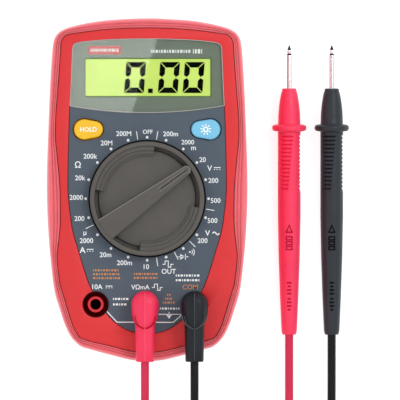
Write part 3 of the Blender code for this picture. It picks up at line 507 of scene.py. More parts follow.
def plate_mesh(outline, low, high, holes=(), edge=0.0, cutters=()):
    """A flat solid with holes; its corners are rounded by edge, after the cutters have cut it."""
    curve = bpy.data.curves.new("outline", "CURVE")
    curve.dimensions = "2D"
    curve.fill_mode = "BOTH"
    curve.extrude = (high - low) / 2
    for loop in [outline, *holes]:
        spline = curve.splines.new("POLY")
        spline.points.add(len(loop) - 1)
        for point, place in zip(spline.points, loop):
            point.co = (place[0], place[1], 0, 1)
        spline.use_cyclic_u = True
    mesh = mesh_of(new_object("outline", curve))
    bpy.data.curves.remove(curve)
    bm = bmesh.new()
    bm.from_mesh(mesh)
    bmesh.ops.remove_doubles(bm, verts=bm.verts, dist=0.000001)
    bmesh.ops.translate(bm, verts=bm.verts, vec=(0, 0, (low + high) / 2))
    bmesh.ops.recalc_face_normals(bm, faces=bm.faces)
    bm.to_mesh(mesh)
    bm.free()
    if cutters:
        mesh = cut_away(mesh, cutters)
    if edge:
        mesh = rounded(mesh, edge)
    return mesh


def cut_away(mesh, cutters):
    solid = new_object("solid", mesh)
    helpers = [new_object("cutter", cutter) for cutter in cutters]
    for helper in helpers:
        modifier = solid.modifiers.new("cut", "BOOLEAN")
        modifier.object = helper
        modifier.operation = "DIFFERENCE"
    result = mesh_of(solid)
    for helper in helpers:
        bpy.data.objects.remove(helper)
    return result


def rounded(mesh, edge):
    """Rounds every corner sharper than 40 degrees."""
    bm = bmesh.new()
    bm.from_mesh(mesh)
    bmesh.ops.dissolve_limit(bm, angle_limit=math.radians(0.5), verts=bm.verts, edges=bm.edges)
    corners = [e for e in bm.edges if len(e.link_faces) == 2 and e.calc_face_angle(0) > math.radians(40)]
    bmesh.ops.bevel(bm, geom=corners, offset=edge, segments=3, profile=0.5, affect="EDGES",
                    clamp_overlap=True)
    return finished(bm, "rounded", 30)


def joined(*meshes):
    bm = bmesh.new()
    for mesh in meshes:
        bm.from_mesh(mesh)
    return finished(bm, "joined", 30)


def round_cutter(radius, low, high, centre):
    bm = bmesh.new()
    prism(bm, circle(radius, centre), low, high)
    return finished(bm, "cutter")


def circle(radius, centre=(0, 0), count=64):
    turns = [2 * math.pi * i / count for i in range(count)]
    return [Vector((centre[0] + radius * math.cos(a), centre[1] + radius * math.sin(a))) for a in turns]


def rectangle(left, right, bottom, top):
    return [Vector((left, bottom)), Vector((right, bottom)), Vector((right, top)), Vector((left, top))]


def rounded_box(left, right, bottom, top, radius):
    points = []
    corners = ((1, 1), (-1, 1), (-1, -1), (1, -1))
    for quarter, (side, end) in enumerate(corners):
        x = (left + right) / 2 + side * ((right - left) / 2 - radius)
        y = (bottom + top) / 2 + end * ((top - bottom) / 2 - radius)
        for i in range(7):
            angle = math.pi / 2 * (quarter + i / 6)
            points.append(Vector((x + radius * math.cos(angle), y + radius * math.sin(angle))))
    return points


# A button's two round ends: distance from the middle line, and radius.
BUTTON_ENDS = ((24.2 * MM, 4.05 * MM), (20.1 * MM, 3.3 * MM))


def button_outline(side, grow=0.0):
    """Outline round a button's two round ends, in place; side is -1 for the left and +1 for the right."""
    (wide_x, wide), (narrow_x, narrow) = BUTTON_ENDS
    tangent = math.acos((wide - narrow) / (wide_x - narrow_x))
    points = []
    for x, radius, start, end, steps in ((wide_x, wide + grow, tangent, 2 * math.pi - tangent, 24),
                                         (narrow_x, narrow + grow, -tangent, tangent, 16)):
        for i in range(steps + 1):
            angle = start + (end - start) * i / steps
            points.append((x - radius * math.cos(angle), radius * math.sin(angle)))
    return [Vector((side * x, button_centres["hold"].y + y)) for x, y in points]


WELL_RADIUS = 4.85 * MM
FACE_FLOOR = panel_low - GAP
CASE_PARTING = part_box("front_case")[0].z + 5.9 * MM
CASE_EDGE = 0.45 * MM
FACE_THICKNESS = 1.8 * MM
SHAFT_HOLE = 6.4 * MM
BUTTON_GAP = 0.35 * MM
LCD_AREA = (-23.9 * MM, 24.7 * MM, 35.6 * MM, 50.7 * MM)


def make_front_case():
    low = CASE_PARTING
    wells = [round_cutter(WELL_RADIUS, low - MM, face_top + MM, place) for place in jack_centres.values()]
    face = closed_outline(FACE_HALF)
    rim = plate_mesh(closed_outline(CASE_HALF), low, face_top, [face], CASE_EDGE, wells)
    window = rectangle(glass_low.x - GAP, glass_high.x + GAP, glass_low.y - GAP, glass_high.y + GAP)
    holes = [window, circle(SHAFT_HOLE, dial_centre)]
    holes += [button_outline(side, BUTTON_GAP) for side in (-1, 1)]
    floor = plate_mesh(grown(face, 0.6 * MM), FACE_FLOOR - FACE_THICKNESS, FACE_FLOOR, holes, 0.0, wells)
    add_piece("front_case_body", joined(rim, floor), "meter", "case_plastic", ["front_case"])


def lens_outline(inset, arc_inset):
    """The face outline above the arc that parts the lens from the panel, closed along that arc."""
    face = grown(closed_outline(FACE_HALF, 40), -inset)
    radius = ARC_RADIUS - arc_inset
    inside = [(point - ARC_CENTRE).length < radius for point in face]
    first = next(i for i in range(len(face)) if inside[i] and not inside[i - 1])
    kept = []
    while inside[(first + len(kept)) % len(face)]:
        kept.append(face[(first + len(kept)) % len(face)])
    ends = [math.atan2(p.x, ARC_CENTRE.y - p.y) for p in (kept[-1], kept[0])]
    for i in range(1, 40):
        angle = ends[0] + (ends[1] - ends[0]) * i / 40
        kept.append(ARC_CENTRE + Vector((math.sin(angle), -math.cos(angle))) * radius)
    return kept


def make_lens():
    lens = plate_mesh(lens_outline(GAP, GAP), lens_low.z, lens_high.z)
    add_piece("display_lens_clear", lens, "meter", "clear_lens", ["display_lens"])
    print_low = FACE_FLOOR + 0.03 * MM
    border = plate_mesh(lens_outline(GAP, -0.6 * MM), print_low, print_low + 0.2 * MM,
                        [rectangle(*LCD_AREA)])
    add_print("lens_border_print", border, "meter", "lens_print")
    # A pale strip round the top of the lens: a painted highlight along its edge.
    rim = plate_mesh(lens_outline(0.1 * MM, 0.1 * MM), lens_high.z - 0.3 * MM, lens_high.z - 0.02 * MM,
                     [lens_outline(GAP, GAP)])
    add_print("lens_painted_highlight_edge", rim, "meter", "lens_edge_painted_highlight")
    # A dark green frame on the glass round its lit area: painted shadow of the lens border.
    left, right, bottom, top = LCD_AREA
    edge = 0.45 * MM
    lcd_shadow_frame = plate_mesh(rectangle(left - 2 * MM, right + 1.6 * MM, bottom - MM, top + MM),
                       glass_high.z + 0.02 * MM, glass_high.z + 0.06 * MM,
                       [rectangle(left + 0.2 * MM, right - edge, bottom + edge, top - edge)])
    add_print("lcd_painted_shadow_edge", lcd_shadow_frame, "meter", "lcd_painted_shadow")


# ---- liquid crystal digits

DIGIT_WIDTH = 7.6 * MM
DIGIT_HEIGHT = 11.9 * MM
DIGIT_SLANT = math.tan(math.radians(4.5))
DIGIT_BASE = 37.2 * MM
DIGIT_LEFTS = (-8.9 * MM, 4.1 * MM, 13.6 * MM)
POINT_LEFT, POINT_RIGHT, POINT_HEIGHT = 0.35 * MM, 2.15 * MM, 1.7 * MM
SEGMENT = 2.1 * MM
SEGMENT_GAP = 0.22 * MM


def segment_shapes():
    """The six segments of a figure 0, each an outline with its lower left corner's digit at the origin."""
    wide, tall, thick, gap = DIGIT_WIDTH, DIGIT_HEIGHT, SEGMENT, SEGMENT_GAP
    bar = [(gap, tall), (wide - gap, tall), (wide - thick - gap, tall - thick), (thick + gap, tall - thick)]
    post = [(0, tall - gap), (thick, tall - thick - gap), (thick, tall / 2 + 0.6 * thick),
            (0.55 * thick, tall / 2 + gap), (0, tall / 2 + 0.45 * thick)]
    shapes = []
    for shape in (bar, post):
        shapes.append(shape)
        shapes.append([(x, tall - y) for x, y in shape])
    shapes.append([(wide - x, y) for x, y in post])
    shapes.append([(wide - x, tall - y) for x, y in post])
    return shapes


def make_digits():
    low, high = glass_high.z + 0.03 * MM, glass_high.z + 0.09 * MM
    bm = bmesh.new()
    for left in DIGIT_LEFTS:
        for shape in segment_shapes():
            prism(bm, [(left + x + y * DIGIT_SLANT, DIGIT_BASE + y) for x, y in shape], low, high)
    prism(bm, rectangle(POINT_LEFT, POINT_RIGHT, DIGIT_BASE, DIGIT_BASE + POINT_HEIGHT), low, high)
    add_print("lcd_digits", finished(bm, "digits"), "meter", "lcd_black")


# ---- selector knob

POINTER_ANGLE = math.radians(36)
# The dish's radii in millimetres.
RIM_INNER = 20.3
KNOB_RADIUS = 22.0
BAR_TAIL = (-19.9 * MM, 4.65 * MM)
BAR_TIP = (20.4 * MM, 1.8 * MM)
# The groove along the bar's top: left, right, bottom and top edges before the knob is turned.
GROOVE = (6.5 * MM, 18.6 * MM, -0.22 * MM, 0.22 * MM)
GROOVE_DEPTH = 0.7 * MM
KNOB_FLOOR = 33.6 * MM
STEP_ARC = math.radians(46)
# The stepped bands' cross-section: distance from the middle and height, in millimetres.
STEP_SECTION = [
    (16.3, 31.6), (16.3, 33.6), (16.4, 34.15), (16.6, 34.3), (17.1, 34.3), (17.2, 34.4), (17.25, 35.1),
    (17.4, 35.25), (18.5, 35.25), (18.6, 35.35), (18.65, 36.1), (18.8, 36.25), (19.9, 36.25), (20.4, 36.2),
    (20.4, 31.6),
]


def lathe(bm, profile, steps=96):
    """Turns an open profile of (radius, height) in millimetres about the Z axis."""
    turns = [2 * math.pi * i / steps for i in range(steps)]
    rings = []
    for radius, z in profile:
        rings.append([Vector((radius * math.cos(a), radius * math.sin(a), z)) * MM for a in turns])
    add_rings(bm, rings)


def lathe_ring(bm, profile, centre, base, steps=64):
    """Turns a closed cross-section of (radius, height above base) in millimetres, with an open middle."""
    rings = []
    for i in range(steps):
        angle = 2 * math.pi * i / steps
        across = Vector((math.cos(angle), math.sin(angle), 0)) * MM
        middle = Vector((centre[0], centre[1], base))
        rings.append([middle + Vector((0, 0, z * MM)) + across * radius for radius, z in profile])
    add_rings(bm, rings, looped=True)


def knob_dish():
    """The dish's cross-section in millimetres: distance from the middle and height."""
    floor, low, top = KNOB_FLOOR / MM, panel_low / MM, KNOB_TOP / MM - 0.25
    return [
        (0.01, floor + 0.35), (6, floor + 0.3), (12, floor + 0.12), (17.8, floor), (18.5, floor - 0.25),
        (18.8, floor - 1.4), (20.0, floor - 1.4), (RIM_INNER - 0.1, top - 0.45),
        (RIM_INNER + 0.05, top - 0.12), (RIM_INNER + 0.35, top), (21.3, top), (21.7, top - 0.15),
        (21.95, top - 0.5), (KNOB_RADIUS, top - 1.2), (KNOB_RADIUS, low), (0.01, low),
    ]


def bar_outline():
    tail_x, tail_y = BAR_TAIL
    tip_x, tip_y = BAR_TIP
    tail_angle = math.atan2(tail_y, -tail_x)
    radius = math.hypot(tail_x, tail_y)
    points = []
    for i in range(9):
        angle = math.pi - tail_angle + 2 * tail_angle * i / 8
        points.append((radius * math.cos(angle), radius * math.sin(angle)))
    for i in range(13):
        angle = -math.pi / 2 + math.pi * i / 12
        points.append((tip_x - tip_y + tip_y * math.cos(angle), tip_y * math.sin(angle)))
    return [Vector(point) for point in points]


def turn_to_pointer(mesh):
    place = Matrix.Translation((dial_centre.x, dial_centre.y, 0))
    mesh.transform(place @ Matrix.Rotation(POINTER_ANGLE, 4, "Z"))
    return mesh


def add_bar_painted_highlights():
    """The bar's long top edges and the sides of its groove, painted lighter as highlights where they catch
    the light.
    """
    bm = bmesh.new()
    low, high = KNOB_TOP - 0.2 * MM, KNOB_TOP + 0.01 * MM
    outline = shrunk(bar_outline(), 0.42 * MM)
    tail_end = 9
    ribbon(bm, [*outline[tail_end:], outline[0]], 0.2 * MM, low, high)
    for side in (-1, 1):
        ribbon(bm, in_mm((5.5, side * 0.75), (18.2, side * 0.5)), 0.16 * MM, low, high)
    add_print("selector_bar_painted_highlights", turn_to_pointer(finished(bm, "edges")), "dial", "knob_bar_painted_highlight")


def make_knob():
    bm = bmesh.new()
    lathe(bm, knob_dish())
    for side in (1, -1):
        rings = []
        for i in range(41):
            angle = side * (STEP_ARC + (math.pi - 2 * STEP_ARC) * i / 40)
            across = Vector((math.cos(angle), math.sin(angle), 0))
            rings.append([(across * radius + Vector((0, 0, z))) * MM for radius, z in STEP_SECTION])
        add_rings(bm, rings)
    dish = finished(bm, "dish", 40)
    bm = bmesh.new()
    prism(bm, rectangle(*GROOVE), KNOB_TOP - GROOVE_DEPTH, KNOB_TOP + MM)
    groove = finished(bm, "groove")
    bar = plate_mesh(bar_outline(), KNOB_FLOOR - 0.4 * MM, KNOB_TOP, edge=0.35 * MM, cutters=[groove])
    add_piece("selector_knob_body", turn_to_pointer(joined(dish, bar)), "dial", "knob_plastic",
              ["selector_knob"])
    add_bar_painted_highlights()
    # A near black ring on the case floor under the knob's edge: painted shade seen through the gap round the
    # knob.
    bm = bmesh.new()
    lathe_ring(bm, [(18, 0.05), (23.3, 0.05), (23.3, 0.2), (18, 0.2)], dial_centre, FACE_FLOOR, 96)
    add_print("dial_painted_shade_ring", finished(bm, "ring"), "meter", "painted_shade_dark")


# ---- buttons

def pillow(bm, outline, low, high, edge, crown):
    """A pad whose top edge is rounded and whose top is slightly crowned."""
    centre = sum(outline, Vector((0, 0))) / len(outline)
    rings = [[Vector((*p, low)) for p in outline]]
    for i in range(7):
        angle = math.pi / 2 * i / 6
        inset = edge * (1 - math.cos(angle))
        height = high - crown - edge * (1 - math.sin(angle))
        rings.append([Vector((*p, height)) for p in shrunk(outline, inset)])
    rim = shrunk(outline, edge)
    for share in (0.8, 0.6, 0.4, 0.2, 0.05):
        height = high - crown * share**2
        rings.append([Vector((*(centre + (p - centre) * share), height)) for p in rim])
    add_rings(bm, rings)


def shrunk(outline, inset):
    """A convex outline drawn in towards its inside, whichever way round it runs."""
    turn = sum(a.x * b.y - b.x * a.y for a, b in zip(outline, outline[1:] + outline[:1]))
    return grown(outline, -inset if turn > 0 else inset)


def make_buttons():
    for name, side, slot in (("hold", -1, "yellow_rubber"), ("backlight", 1, "blue_rubber")):
        node = f"{name}_button_cap"
        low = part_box(node)[0].z
        bm = bmesh.new()
        prism(bm, button_outline(side, 0.9 * MM), low, low + MM)
        pillow(bm, button_outline(side, -0.15 * MM), low + 0.5 * MM, button_top, 0.7 * MM, 0.15 * MM)
        add_piece(f"{name}_button_pad", finished(bm, name, 50), f"{name}_button", slot, [node])
    low, high = button_top - 0.2 * MM, button_top + 0.02 * MM
    bm = bmesh.new()
    add_text(bm, "HOLD", button_centres["hold"], 1.75 * MM, low, high, 0.02)
    add_print("hold_button_print", finished(bm, "hold"), "hold_button", "pale_print")
    middle = button_centres["backlight"]
    bm = bmesh.new()
    lathe_ring(bm, [(0.55, -0.2), (1.05, -0.2), (1.05, 0.02), (0.55, 0.02)], middle, button_top, 32)
    for i in range(9):
        angle = math.pi / 2 + 2 * math.pi * i / 9
        ray = Vector((math.cos(angle), math.sin(angle)))
        ribbon(bm, [middle.xy + ray * 1.3 * MM, middle.xy + ray * 2.1 * MM], 0.42 * MM, low, high)
    add_print("backlight_button_print", finished(bm, "sun"), "backlight_button", "pale_print")


# ---- jacks and plugs

JACK_FLOOR = 12.2 * MM


def jack_parts():
    """A jack's parts: finish, then rings of level, sides and (radius, height above it) in millimetres."""
    deep = (JACK_FLOOR - face_top) / MM
    cap = socket_top + 0.05 * MM
    stem = (cap - JACK_FLOOR) / MM - 1
    wall = [(4.52, deep), (4.52, -5), (4.78, -0.2), (4.83, -0.1), (4.83, deep)]
    foot = [(3.08, 0), (4.75, 0), (4.75, 1), (3.08, 1)]
    lip = [(2.08, 0), (3.0, 0), (3.1, 0.1), (3.1, 0.55), (2.95, 0.75), (2.3, 0.8), (2.08, 0.6)]
    # A thin ring round each jack's mouth, barely raised above the face: painted shadow of the well's edge.
    painted_shadow_ring = [(4.56, -0.8), (4.58, -0.05), (4.7, 0.1), (4.95, 0.1), (5.08, -0.02), (5.08, -0.8)]
    return {
        # The well's walls: painted shade, with a faint painted glow.
        "well": ("jack_well_painted_shade_and_glow", [(face_top, 72, wall), (JACK_FLOOR, 48, foot)]),
        "socket": ("jack_red", [(cap, 64, lip)]),
        "painted_shadow_ring": ("jack_painted_shadow_ring", [(face_top, 72, painted_shadow_ring)]),
        "contact": ("contact_brass", [(JACK_FLOOR, 32, [(2.04, 1), (2.3, 1), (2.3, stem), (2.04, stem)])]),
        # A near black disc at the bottom of the socket: painted shade.
        "floor": ("painted_shade_dark", [(JACK_FLOOR, 32, [(0.01, -1), (3.2, -1), (3.2, -0.5), (0.01, -0.5)])]),
    }


def make_jacks():
    for name, place in jack_centres.items():
        for part, (look, rings) in jack_parts().items():
            bm = bmesh.new()
            for level, sides, profile in rings:
                lathe_ring(bm, profile, place, level, sides)
            mesh = finished(bm, part)
            if part in ("well", "socket"):
                add_piece(f"jack_{part}_{name}", mesh, "meter", "jack_red", look=look)
            else:
                add_print(f"jack_{part}_{name}", mesh, "meter", look)


HEAD_RADIUS = 5.25 * MM
HEAD_AXIS = (-8.0 * MM, 0.2 * MM)
HEAD_CROWN = 3.9 * MM
CROWN_RISE = 0.8 * MM


def head_outline():
    """Plug head seen from above, about its socket: round at the top and drawn to a blunt V."""
    points = []
    for i in range(25):
        angle = math.radians(-8 + 196 * i / 24)
        points.append(Vector((HEAD_RADIUS * math.cos(angle), HEAD_RADIUS * math.sin(angle))))
    left = [(-5.1, -2.4), (-4.85, -4.4), (-4.3, -6.4), (-3.4, -7.6), (-2.2, -8.5), (-1.1, -9.1)]
    right = [(-x, y) for x, y in reversed(left)]
    return points + [Vector(point) * MM for point in [*left, (0, -9.5), *right]]


def make_plug(colour, jack):
    boot_low, boot_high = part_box(f"{colour}_plug_boot")
    centre = jack_centres[jack].xy
    outline = head_outline()
    shoulder = boot_high.z - HEAD_CROWN
    low = face_top + GAP
    rings = []
    for inset, height in ((0.3 * MM, low), (0.0, low + 0.35 * MM), (0.0, low + 5 * MM), (0.0, shoulder)):
        rings.append([Vector((*(centre + p), height)) for p in shrunk(outline, inset)])
    for i in range(1, 13):
        share = i / 12 * 0.985
        rings.append([Vector((*centre, 0)) + head_place(p, share, shoulder) for p in outline])
    bm = bmesh.new()
    add_rings(bm, rings)
    add_rings(bm, tail_rings(centre, boot_low.y))
    make_seams(colour, centre, shoulder, boot_low.y)
    sleeve = (low - boot_low.z) / MM + 0.6
    lathe_ring(bm, [(3.4, 0), (4.4, 0), (4.4, sleeve), (3.4, sleeve)], centre, boot_low.z, 48)
    return add_piece(f"{colour}_plug_body", finished(bm, "plug", 28), f"{colour}_plug", f"plug_{colour}",
                     [f"{colour}_plug_boot"])


def head_place(point, share, shoulder):
    """A place on the plug head's crown: an outline point drawn in towards the head's spine."""
    spine = Vector((0, min(HEAD_AXIS[1], max(HEAD_AXIS[0], point.y))))
    flank = (HEAD_CROWN - CROWN_RISE) * (1 - (1 - share) ** 5)
    height = shoulder + flank + CROWN_RISE * share
    return Vector((*point.lerp(spine, share), height))


def seam_tube(bm, places, radius):
    add_rings(bm, tube_rings(smooth_path(places, 0.4 * MM), lambda i: radius, 8))


def make_seams(colour, centre, shoulder, end_y):
    """Raised lines coloured as painted shade and highlight: a double V round the foot of the head, darker on
    the red plug and lighter on the black, and a fine ridge down its middle, lighter on both as a painted
    highlight.
    """
    place = Vector((*centre, 0))
    foot = [p for p in head_outline() if p.y < -3.5 * MM]
    bm = bmesh.new()
    for share, radius in ((0.02, 0.19 * MM), (0.2, 0.15 * MM)):
        line = [head_place(p, share, shoulder) for p in foot]
        seam_tube(bm, [place + Vector((p.x, p.y, max(p.z, TAIL_TOP + 0.02 * MM))) for p in line], radius)
    add_print(f"{colour}_plug_creases", finished(bm, "creases"), f"{colour}_plug", f"crease_{colour}")
    bm = bmesh.new()
    crown = shoulder + HEAD_CROWN - 0.08 * MM
    drops = ((4.4, 1.1), (3.4, 0.35), (1.5, 0.02), (0, 0), (-3, 0), (-6, 0), (-8, 0.02), (-8.8, 0.5))
    seam_tube(bm, [place + Vector((0, y * MM, crown - drop * MM)) for y, drop in drops], 0.15 * MM)
    tail_start = Vector((centre.x, centre.y - 9.4 * MM, TAIL_TOP + 0.27 * MM))
    seam_tube(bm, [tail_start, Vector((centre.x, end_y + 0.4 * MM, TAIL_TOP + 0.06 * MM))], 0.15 * MM)
    add_print(f"{colour}_plug_seams", finished(bm, "seams"), f"{colour}_plug", f"seam_{colour}")


TAIL_MIDDLE = 39.9 * MM
# Half width and half height where the tail leaves the head, and how much each has shrunk at its end.
TAIL_HALF = (3.95 * MM, 3.55 * MM)
TAIL_TAPER = (0.45 * MM, 0.3 * MM)
TAIL_TOP = TAIL_MIDDLE + TAIL_HALF[1]
RIDGE_HEIGHT, RIDGE_HALF_WIDTH = 0.35 * MM, 0.55 * MM


def tail_rings(centre, end_y):
    """The cable end of a right-angle plug: flat-sided, tapered, with a fine ridge along its top."""
    start_y = centre.y - 2 * MM
    rings = []
    for share, scale in ((0, 1), (0.25, 1), (0.5, 1), (0.75, 1), (0.97, 1), (0.99, 0.97), (1, 0.9)):
        y = start_y + (end_y - start_y) * share
        half_x, half_z = [(half - taper * share) * scale for half, taper in zip(TAIL_HALF, TAIL_TAPER)]
        ring = []
        for i in range(48):
            angle = 2 * math.pi * i / 48
            c, s = math.cos(angle), math.sin(angle)
            x = half_x * math.copysign(abs(c) ** 0.5, c)
            z = half_z * math.copysign(abs(s) ** 0.75, s)
            if s > 0:
                z += RIDGE_HEIGHT * max(0.0, 1 - abs(x) / RIDGE_HALF_WIDTH)
            ring.append(Vector((centre.x + x, y, TAIL_MIDDLE + z)))
        rings.append(ring)
    return rings


# ---- probes

# A probe's measures in millimetres, from the tail of its handle.
PROBE_LENGTH = 95.0
FLANGE_AT = 79.8
FLANGE_RADIUS = 6.65
PROBE_TAIL = (-55.8, 2.8)
PROBE_TILT = math.asin((FLANGE_RADIUS - PROBE_TAIL[1]) / FLANGE_AT)
PROBE_X = {"red": 54.7, "black": 71.1}
RIB_PITCH = 1.55
RIB_SPAN = (55.7, 76.7)
RIB_DEPTH = 0.8
# Radius against distance, as (distance, radius).
HANDLE_RADII = [
    (0, 2.55), (0.4, 2.75), (1.6, 3.0), (14, 3.55), (30, 4.1), (46, 4.4), (62, 4.4), (78.2, 4.4),
]
FLANGE_RADII = [
    (78.4, 4.4), (78.55, 5.6), (78.75, 6.2), (79.1, 6.5), (79.5, 6.63), (79.8, 6.65), (80.1, 6.63),
    (80.5, 6.5), (80.85, 6.2), (81.05, 5.6), (81.2, 4.4),
]
NOSE_RADII = [
    (81.3, 4.33), (84, 4.25), (86, 4.15), (88, 3.97), (90, 3.72), (92, 3.38), (93.5, 3.05), (93.8, 2.95),
    (93.9, 2.8), (94.6, 2.78), (94.9, 2.65), (95, 2.4), (95, 0.9),
]


def handle_rows():
    """(distance, radius) along the handle, with close rows where the grip ribs are."""
    rows = []
    for (a, low), (b, high) in zip(HANDLE_RADII, HANDLE_RADII[1:]):
        steps = round((b - a) / (0.13 if b > RIB_SPAN[0] else 1.2)) or 1
        for i in range(steps):
            share = i / steps
            rows.append((a + (b - a) * share, low + (high - low) * share))
    return rows + FLANGE_RADII + NOSE_RADII


def smooth_step(value):
    value = min(1.0, max(0.0, value))
    return value * value * (3 - 2 * value)


# The grip's ribbed regions round the handle: middle and half width at the tail end, how much each grows
# towards the nose, all in degrees, and the ribs' depth in millimetres.
RIB_REGIONS = [(-33, 27, 15, 13, RIB_DEPTH), (102, 40, 0, 0, 0.5 * RIB_DEPTH)]
PAD_DEPTH = 0.18


def rib_cut(distance, angle):
    """How deep the grip is cut, in millimetres, at a distance and at an angle round from the top."""
    low, high = RIB_SPAN
    if not low - 1 < distance < high + 1:
        return 0.0
    share = (distance - low) / (high - low)
    groove = math.exp(-(((distance - low) / RIB_PITCH % 1 - 0.5) / 0.15) ** 2)
    along = smooth_step((distance - low + 0.6) / 0.6) * smooth_step((high + 0.6 - distance) / 0.6)
    inside = 0.0
    for middle, half, middle_growth, half_growth, depth in RIB_REGIONS:
        middle = math.radians(middle + middle_growth * share)
        half = math.radians(half + half_growth * share)
        turn = (angle - middle + math.pi) % (2 * math.pi) - math.pi
        across = smooth_step((half - abs(turn)) / math.radians(7))
        inside = max(inside, across * along * (PAD_DEPTH + depth * groove))
    return inside


def probe_place(colour):
    turn = Matrix.Rotation(PROBE_TILT - math.pi / 2, 4, "X")
    return Matrix.Translation(Vector((PROBE_X[colour], *PROBE_TAIL)) * MM) @ turn


def make_probe(colour):
    steps = 96
    rings = []
    for distance, radius in handle_rows():
        ring = []
        for i in range(steps):
            angle = 2 * math.pi * i / steps
            across = radius - rib_cut(distance, angle)
            ring.append(Vector((across * math.sin(angle), -across * math.cos(angle), distance)) * MM)
        rings.append(ring)
    mesh = skinned(rings, "handle", 38)
    mesh.transform(probe_place(colour))
    handle = add_piece(f"{colour}_probe_grip", mesh, "meter", f"plug_{colour}", [f"{colour}_probe_handle"],
                       look=f"probe_{colour}")
    needle = add_piece(f"{colour}_probe_point", turned_about_probe(colour, NEEDLE_PROFILE), "meter", "steel",
                       [f"{colour}_probe_needle"], look="needle_steel")
    # Three dark strips along the needle, and a dark cone and band at its point: painted reflections on the
    # bright steel.
    bm = bmesh.new()
    for degrees in (-66, 0, 66):
        turn = Matrix.Rotation(math.radians(degrees), 2)
        strip = rectangle(-0.11 * MM, 0.11 * MM, -(NEEDLE_RADIUS + 0.012) * MM, -(NEEDLE_RADIUS - 0.1) * MM)
        prism(bm, [turn @ corner for corner in strip], PROBE_LENGTH * MM, (NEEDLE_TIP - 4.2) * MM)
    lines = finished(bm, "lines")
    lines.transform(probe_place(colour))
    add_print(f"{colour}_probe_painted_reflection_lines", lines, "meter", "needle_painted_reflection")
    add_print(f"{colour}_probe_mark", probe_mark(colour), "meter", f"mark_{colour}")
    for name, profile in (("cone", CONE_PROFILE), ("band", BAND_PROFILE)):
        add_print(f"{colour}_probe_{name}", turned_about_probe(colour, profile), "meter", "needle_painted_reflection")
    return handle, needle


def handle_radius(distance):
    """The handle's radius at a distance from its tail, both in millimetres."""
    for (a, low), (b, high) in zip(HANDLE_RADII, HANDLE_RADII[1:]):
        if distance <= b:
            return low + (high - low) * (distance - a) / (b - a)
    return HANDLE_RADII[-1][1]


def probe_mark(colour):
    """A plain moulded arrow that points to the needle, with three boxes and a row of bars behind it."""
    bm = bmesh.new()
    depth, proud = 0.6, 0.14

    def raised_line(points, width, along, height=proud):
        top = handle_radius(along)
        ribbon(bm, in_mm(*points), width * MM, (top - depth) * MM, (top + height) * MM)

    raised_line([(-1.15, 39.7), (0, 42.4), (1.15, 39.7)], 0.5, 41)
    raised_line([(-1.35, 39.7), (1.35, 39.7)], 0.5, 41)
    for middle in (37.4, 35.5, 33.6):
        ring = [(-1.1, middle - 0.6), (1.1, middle - 0.6), (1.1, middle + 0.6), (-1.1, middle + 0.6)]
        raised_line([*ring, ring[0]], 0.48, middle)
    for i, middle in enumerate((20.2, 18.8, 17.4, 16.0, 14.0, 12.6, 11.2, 9.8)):
        half = (0.85, 0.6, 0.85)[i % 3]
        raised_line([(-half, middle), (half, middle)], 0.7, middle, proud / 2)
    mesh = finished(bm, "mark")
    mesh.transform(probe_place(colour) @ Matrix.Rotation(math.pi / 2, 4, "X"))
    return mesh


# In millimetres.
NEEDLE_TIP = 111.9
NEEDLE_RADIUS = 0.9


def below_tip(*rows):
    """Rows of (radius, distance back from the needle's tip), as (radius, distance from the handle's tail)."""
    return [(radius, NEEDLE_TIP - back) for radius, back in rows]


# The needle, and the dark cone and band painted on it as reflections, in millimetres.
NEEDLE_PROFILE = below_tip(
    (0.03, 1.5), (0.6, 1.95), (0.8, 2.25), (0.88, 2.65), (0.8, 3.1), (0.6, 3.4), (0.58, 3.7), (0.84, 3.95),
    (NEEDLE_RADIUS, 4.15), (NEEDLE_RADIUS, 29.5), (0.03, 29.6),
)
CONE_PROFILE = below_tip((0.02, 0), (0.72, 1.85), (0.66, 2.0), (0.02, 2.0))
BAND_PROFILE = below_tip((0.02, 3.42), (0.64, 3.42), (0.92, 3.75), (0.92, 4.0), (0.02, 4.0))


def turned_about_probe(colour, profile):
    bm = bmesh.new()
    lathe(bm, profile, 48)
    mesh = finished(bm, "turned", 30)
    mesh.transform(probe_place(colour))
    return mesh


# ---- printed markings

def in_mm(*points):
    return [Vector(point) * MM for point in points]


def add_text(bm, words, centre, height, low, high, bold=0.0):
    """Words of a given height, centred on a point, as a thin raised print."""
    curve = bpy.data.curves.new("words", "FONT")
    curve.body = words
    curve.offset = bold
    curve.extrude = 0.1
    curve.resolution_u = 3
    mesh = mesh_of(new_object("words", curve))
    bpy.data.curves.remove(curve)
    xs = [v.co.x for v in mesh.vertices]
    ys = [v.co.y for v in mesh.vertices]
    scale = height / (max(ys) - min(ys))
    middle = ((max(xs) + min(xs)) / 2, (max(ys) + min(ys)) / 2)
    for v in mesh.vertices:
        x = centre[0] + (v.co.x - middle[0]) * scale
        y = centre[1] + (v.co.y - middle[1]) * scale
        v.co = (x, y, high if v.co.z > 0 else low)
    bm.from_mesh(mesh)
    bpy.data.meshes.remove(mesh)


def ribbon(bm, points, width, low, high):
    """A line of even width through the points, mitred at its corners."""
    points = [Vector(point) for point in points]
    left, right = [], []
    for i, point in enumerate(points):
        before = (point - points[max(i - 1, 0)]).normalized()
        after = (points[min(i + 1, len(points) - 1)] - point).normalized()
        along = (before + after).normalized()
        spread = max(0.5, along.dot(after if after.length else before))
        side = Vector((-along.y, along.x)) * width / 2 / spread
        left.append(point + side)
        right.append(point - side)
    prism(bm, left + right[::-1], low, high)


PRINT_LOW = panel_top - 0.05 * MM
PRINT_HIGH = panel_top + 0.03 * MM
DOT_REACH = 23.6 * MM
POSITIONS = 20
SEPARATOR_ANGLES = (99, 81, -10, -45, -63, -81, -154)
